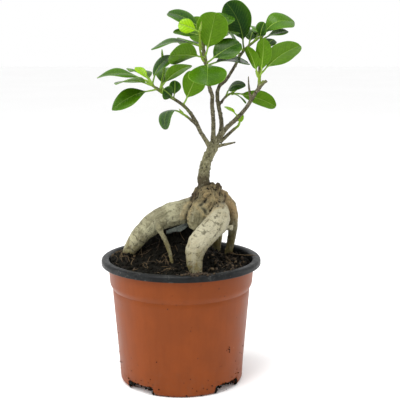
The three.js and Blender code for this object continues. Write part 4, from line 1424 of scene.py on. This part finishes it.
def leaf_mesh(node, sizes, draw):
    """A leaf as one closed skin: a round stalk that widens into a thin blade with its midrib
    under it, quilted between the veins and waved at the edge."""
    plan = LeafPlan(node)
    stations = len(plan.centres) - 1
    reach = plan.travel[-1]
    phase, lean, lift = draw.uniform(0, 6), draw.uniform(-1, 1), draw.uniform(0.35, 0.7)
    wave = draw.uniform(0.015, 0.035) * reach
    opened = LEAF_FOLDS.get(node, USUAL_FOLD)
    broad = LEAF_WIDTHS.get(node, USUAL_WIDTH)
    pointed = draw.uniform(0.52, 0.68)
    shoulder = broad * np.linalg.norm(curve_at(plan.sides, TIP_SHARE * stations))
    half_thickness = sizes.leaf_thickness / 2
    foot = Vector(plan.centres[0])
    into_wood = wood_tree().find_nearest(foot)[0] - foot
    stalk = 0.62 * MM * (0.75 if reach < 18 * MM else 1)

    bm = bmesh.new()
    layers = [bm.verts.layers.float.new(name) for name in LEAF_LAYERS]
    tone = LEAF_TONES.get(node, draw.uniform(0.25, 0.7))
    youth = draw.uniform(0.75, 1) if node.startswith("young") else 0
    ball = bmesh.ops.create_uvsphere(bm, u_segments=LEAF_ROUND, v_segments=LEAF_RINGS, radius=1)
    for face in bm.faces:
        face.material_index = 0 if face.calc_center_median().y > 0 else 1
    rows = {}
    for vertex in ball["verts"]:
        ring = round(math.acos(max(-1, min(1, vertex.co.z))) / math.pi * LEAF_RINGS)
        angle = math.atan2(vertex.co.y, vertex.co.x)
        if ring not in rows:
            share = ring / LEAF_RINGS
            share = share - 0.08 * math.sin(2 * math.pi * share)
            at = share * stations
            rows[ring] = (share, *(curve_at(v, at) for v in (plan.centres, plan.sides, plan.ups,
                                                             plan.lifts, plan.travel)))
        share, centre, side, up, edge_lift, along = rows[ring]
        half = np.linalg.norm(side)
        side = side / half if half > 1e-9 else side
        half *= 1 + (broad - 1) * eased(share, 0.15, 0.45)
        # the end closes in an even curve
        if share > TIP_SHARE:
            part = min(1, (share - TIP_SHARE) / (1 - TIP_SHARE))
            closing = shoulder * (1 - part ** 2) ** pointed
            half += (closing - half) * eased(share, TIP_SHARE, 0.86)
        up = up / np.linalg.norm(up)
        c, s = math.cos(angle), math.sin(angle)
        v = math.copysign(c * c, c)
        x = v * half
        spread = eased(share, STALK_SHARE * 0.7, STALK_SHARE * 1.7)
        slant = along - abs(x) * 0.8
        quilt = (math.sin(2 * math.pi * slant / sizes.vein_spacing)
                 * abs(v) * (1 - abs(v)) * 0.045 * MM)
        fold = edge_lift * opened * (abs(v) ** 1.3) * (1.15 - lift * v * v)
        ripple = wave * abs(v) ** 2.5 * math.sin(7.5 * share + phase + (1.6 if v > 0 else 0))
        sag = 0.02 * reach * lean * math.sin(math.pi * share) * v
        height = fold + (quilt + ripple + sag) * spread
        thick = half_thickness * math.sqrt(max(0, 1 - abs(v) ** 5))
        rib = stalk * (1.05 - 0.85 * share) * math.exp(-((x / (0.5 * MM)) ** 2))
        if s > 0:
            height += thick - 0.18 * rib
        else:
            height -= thick + 0.75 * rib
        shut = 0 if ring in (0, LEAF_RINGS) else 1
        round_stalk = stalk * (1 + 0.45 * math.exp(-share / 0.025))
        across = (spread * x + (1 - spread) * round_stalk * c) * shut
        rise = (spread * height + (1 - spread) * round_stalk * s) * shut
        if ring == LEAF_RINGS:
            rise = edge_lift
        place = Vector(centre + side * across + up * rise)
        # the stalk's foot reaches into the wood
        pull = max(0, 1 - share / 0.08)
        place += into_wood * 1.9 * pull
        vertex.co = place
        for layer, value in zip(layers, (along, x * spread, abs(v) * spread, tone, youth)):
            vertex[layer] = value
    bmesh.ops.recalc_face_normals(bm, faces=bm.faces)
    return bm


class BONSAI_OT_leaves(bpy.types.Operator):
    """Grow every leaf with its stalk, midrib, side veins and waved edge"""

    bl_idname = "bonsai.leaves"
    bl_label = "Make Leaves"

    def execute(self, context):
        sizes, colours = context.scene.bonsai_sizes, context.scene.bonsai_colours
        finishes = [leaf_face("leaf_upper", sizes, colours, False),
                    leaf_face("leaf_underside", sizes, colours, True)]
        for number, node in enumerate(leaf_nodes()):
            slot = "young_leaf" if node.startswith("young") else "leaf"
            bm = leaf_mesh(node, sizes, Random(LEAF_SEED + number))
            piece(bm, "blade_of_" + node, finishes, slot, node)
        return {"FINISHED"}


# ---------------------------------------------------------------- stage

CAMERA_PLACE = (14.2, -694.5, 263.8)
CAMERA_DIP = 10.29  # degrees below level
SENSOR_WIDTH = 36
LENS = 85
FLOOR_SIZE = 12.0
LIGHTS_AIM = (0.01, 0, 0.15)
# Each light's name, place and size in metres, and power in watts.
LIGHTS = [("key", (-0.5, -0.7, 0.8), (0.45, 0.45), 4),
          ("top", (-0.15, -0.25, 1.15), (0.6, 0.6), 9),
          ("left_strip", (-0.8, 0.05, 0.2), (0.25, 0.9), 2.5),
          ("right_strip", (0.8, 0.05, 0.2), (0.25, 0.9), 2)]


def floor_finish():
    f = Finish("studio_floor")
    base = f.blend(f.band(f.grain(0.4, 2), 0.4, 0.6), (0.965, 0.965, 0.965), (0.975, 0.975, 0.975))
    return f.surface(base, 0.6, Specular_IOR_Level=0.2)


def area_light(name, place, size, power):
    light = bpy.data.lights.new(name, "AREA")
    light.shape = "RECTANGLE"
    light.size, light.size_y = size
    light.energy = power
    lamp = linked(name, light)
    lamp.location = place
    lamp.rotation_euler = (Vector(LIGHTS_AIM) - Vector(place)).to_track_quat("-Z", "Y").to_euler()


class BONSAI_OT_stage(bpy.types.Operator):
    """Set up the floor, the soft lights and the camera"""

    bl_idname = "bonsai.stage"
    bl_label = "Set Stage"

    def execute(self, context):
        scene = context.scene
        bm = bmesh.new()
        bmesh.ops.create_grid(bm, x_segments=1, y_segments=1, size=FLOOR_SIZE / 2)
        mesh = as_mesh(bm, "floor")
        mesh.materials.append(floor_finish())
        floor = linked("floor", mesh)

        world = bpy.data.worlds.new("studio")
        world.use_nodes = True
        background = world.node_tree.nodes["Background"]
        background.inputs["Color"].default_value = (1, 1, 1, 1)
        background.inputs["Strength"].default_value = 1.0
        scene.world = world

        for settings in LIGHTS:
            area_light(*settings)

        camera = linked("camera", bpy.data.cameras.new("camera"))
        camera.location = Vector(CAMERA_PLACE) * MM
        camera.rotation_euler = (math.radians(90 - CAMERA_DIP), 0, 0)
        camera.data.sensor_width = SENSOR_WIDTH
        camera.data.lens = LENS
        camera.data.clip_start = 0.01
        scene.camera = camera
        scene.view_settings.view_transform = "Standard"
        return {"FINISHED"}


# ---------------------------------------------------------------- add-on


class BONSAI_PT_panel(bpy.types.Panel):
    """Lists the plant's pieces, sizes and colours"""

    bl_label = "Bonsai"
    bl_idname = "BONSAI_PT_panel"
    bl_space_type = "VIEW_3D"
    bl_region_type = "UI"
    bl_category = "Bonsai"

    def draw(self, context):
        layout = self.layout
        for operator in OPERATORS:
            layout.operator(operator.bl_idname)
        for settings in (context.scene.bonsai_sizes, context.scene.bonsai_colours):
            box = layout.box()
            for name in settings.__annotations__:
                box.prop(settings, name)


OPERATORS = (BONSAI_OT_pot, BONSAI_OT_soil, BONSAI_OT_rootstock, BONSAI_OT_grafted_top,
             BONSAI_OT_leaves, BONSAI_OT_stage)
CLASSES = (BonsaiSizes, BonsaiColours, *OPERATORS, BONSAI_PT_panel)


def register():
    for one in CLASSES:
        bpy.utils.register_class(one)
    bpy.types.Scene.bonsai_sizes = PointerProperty(type=BonsaiSizes)
    bpy.types.Scene.bonsai_colours = PointerProperty(type=BonsaiColours)


def unregister():
    del bpy.types.Scene.bonsai_colours
    del bpy.types.Scene.bonsai_sizes
    for one in reversed(CLASSES):
        bpy.utils.unregister_class(one)


def main():
    register()
    bpy.ops.bonsai.pot()
    bpy.ops.bonsai.soil()
    bpy.ops.bonsai.rootstock()
    bpy.ops.bonsai.grafted_top()
    bpy.ops.bonsai.leaves()
    bpy.ops.bonsai.stage()


if __name__ == "__main__":
    main()
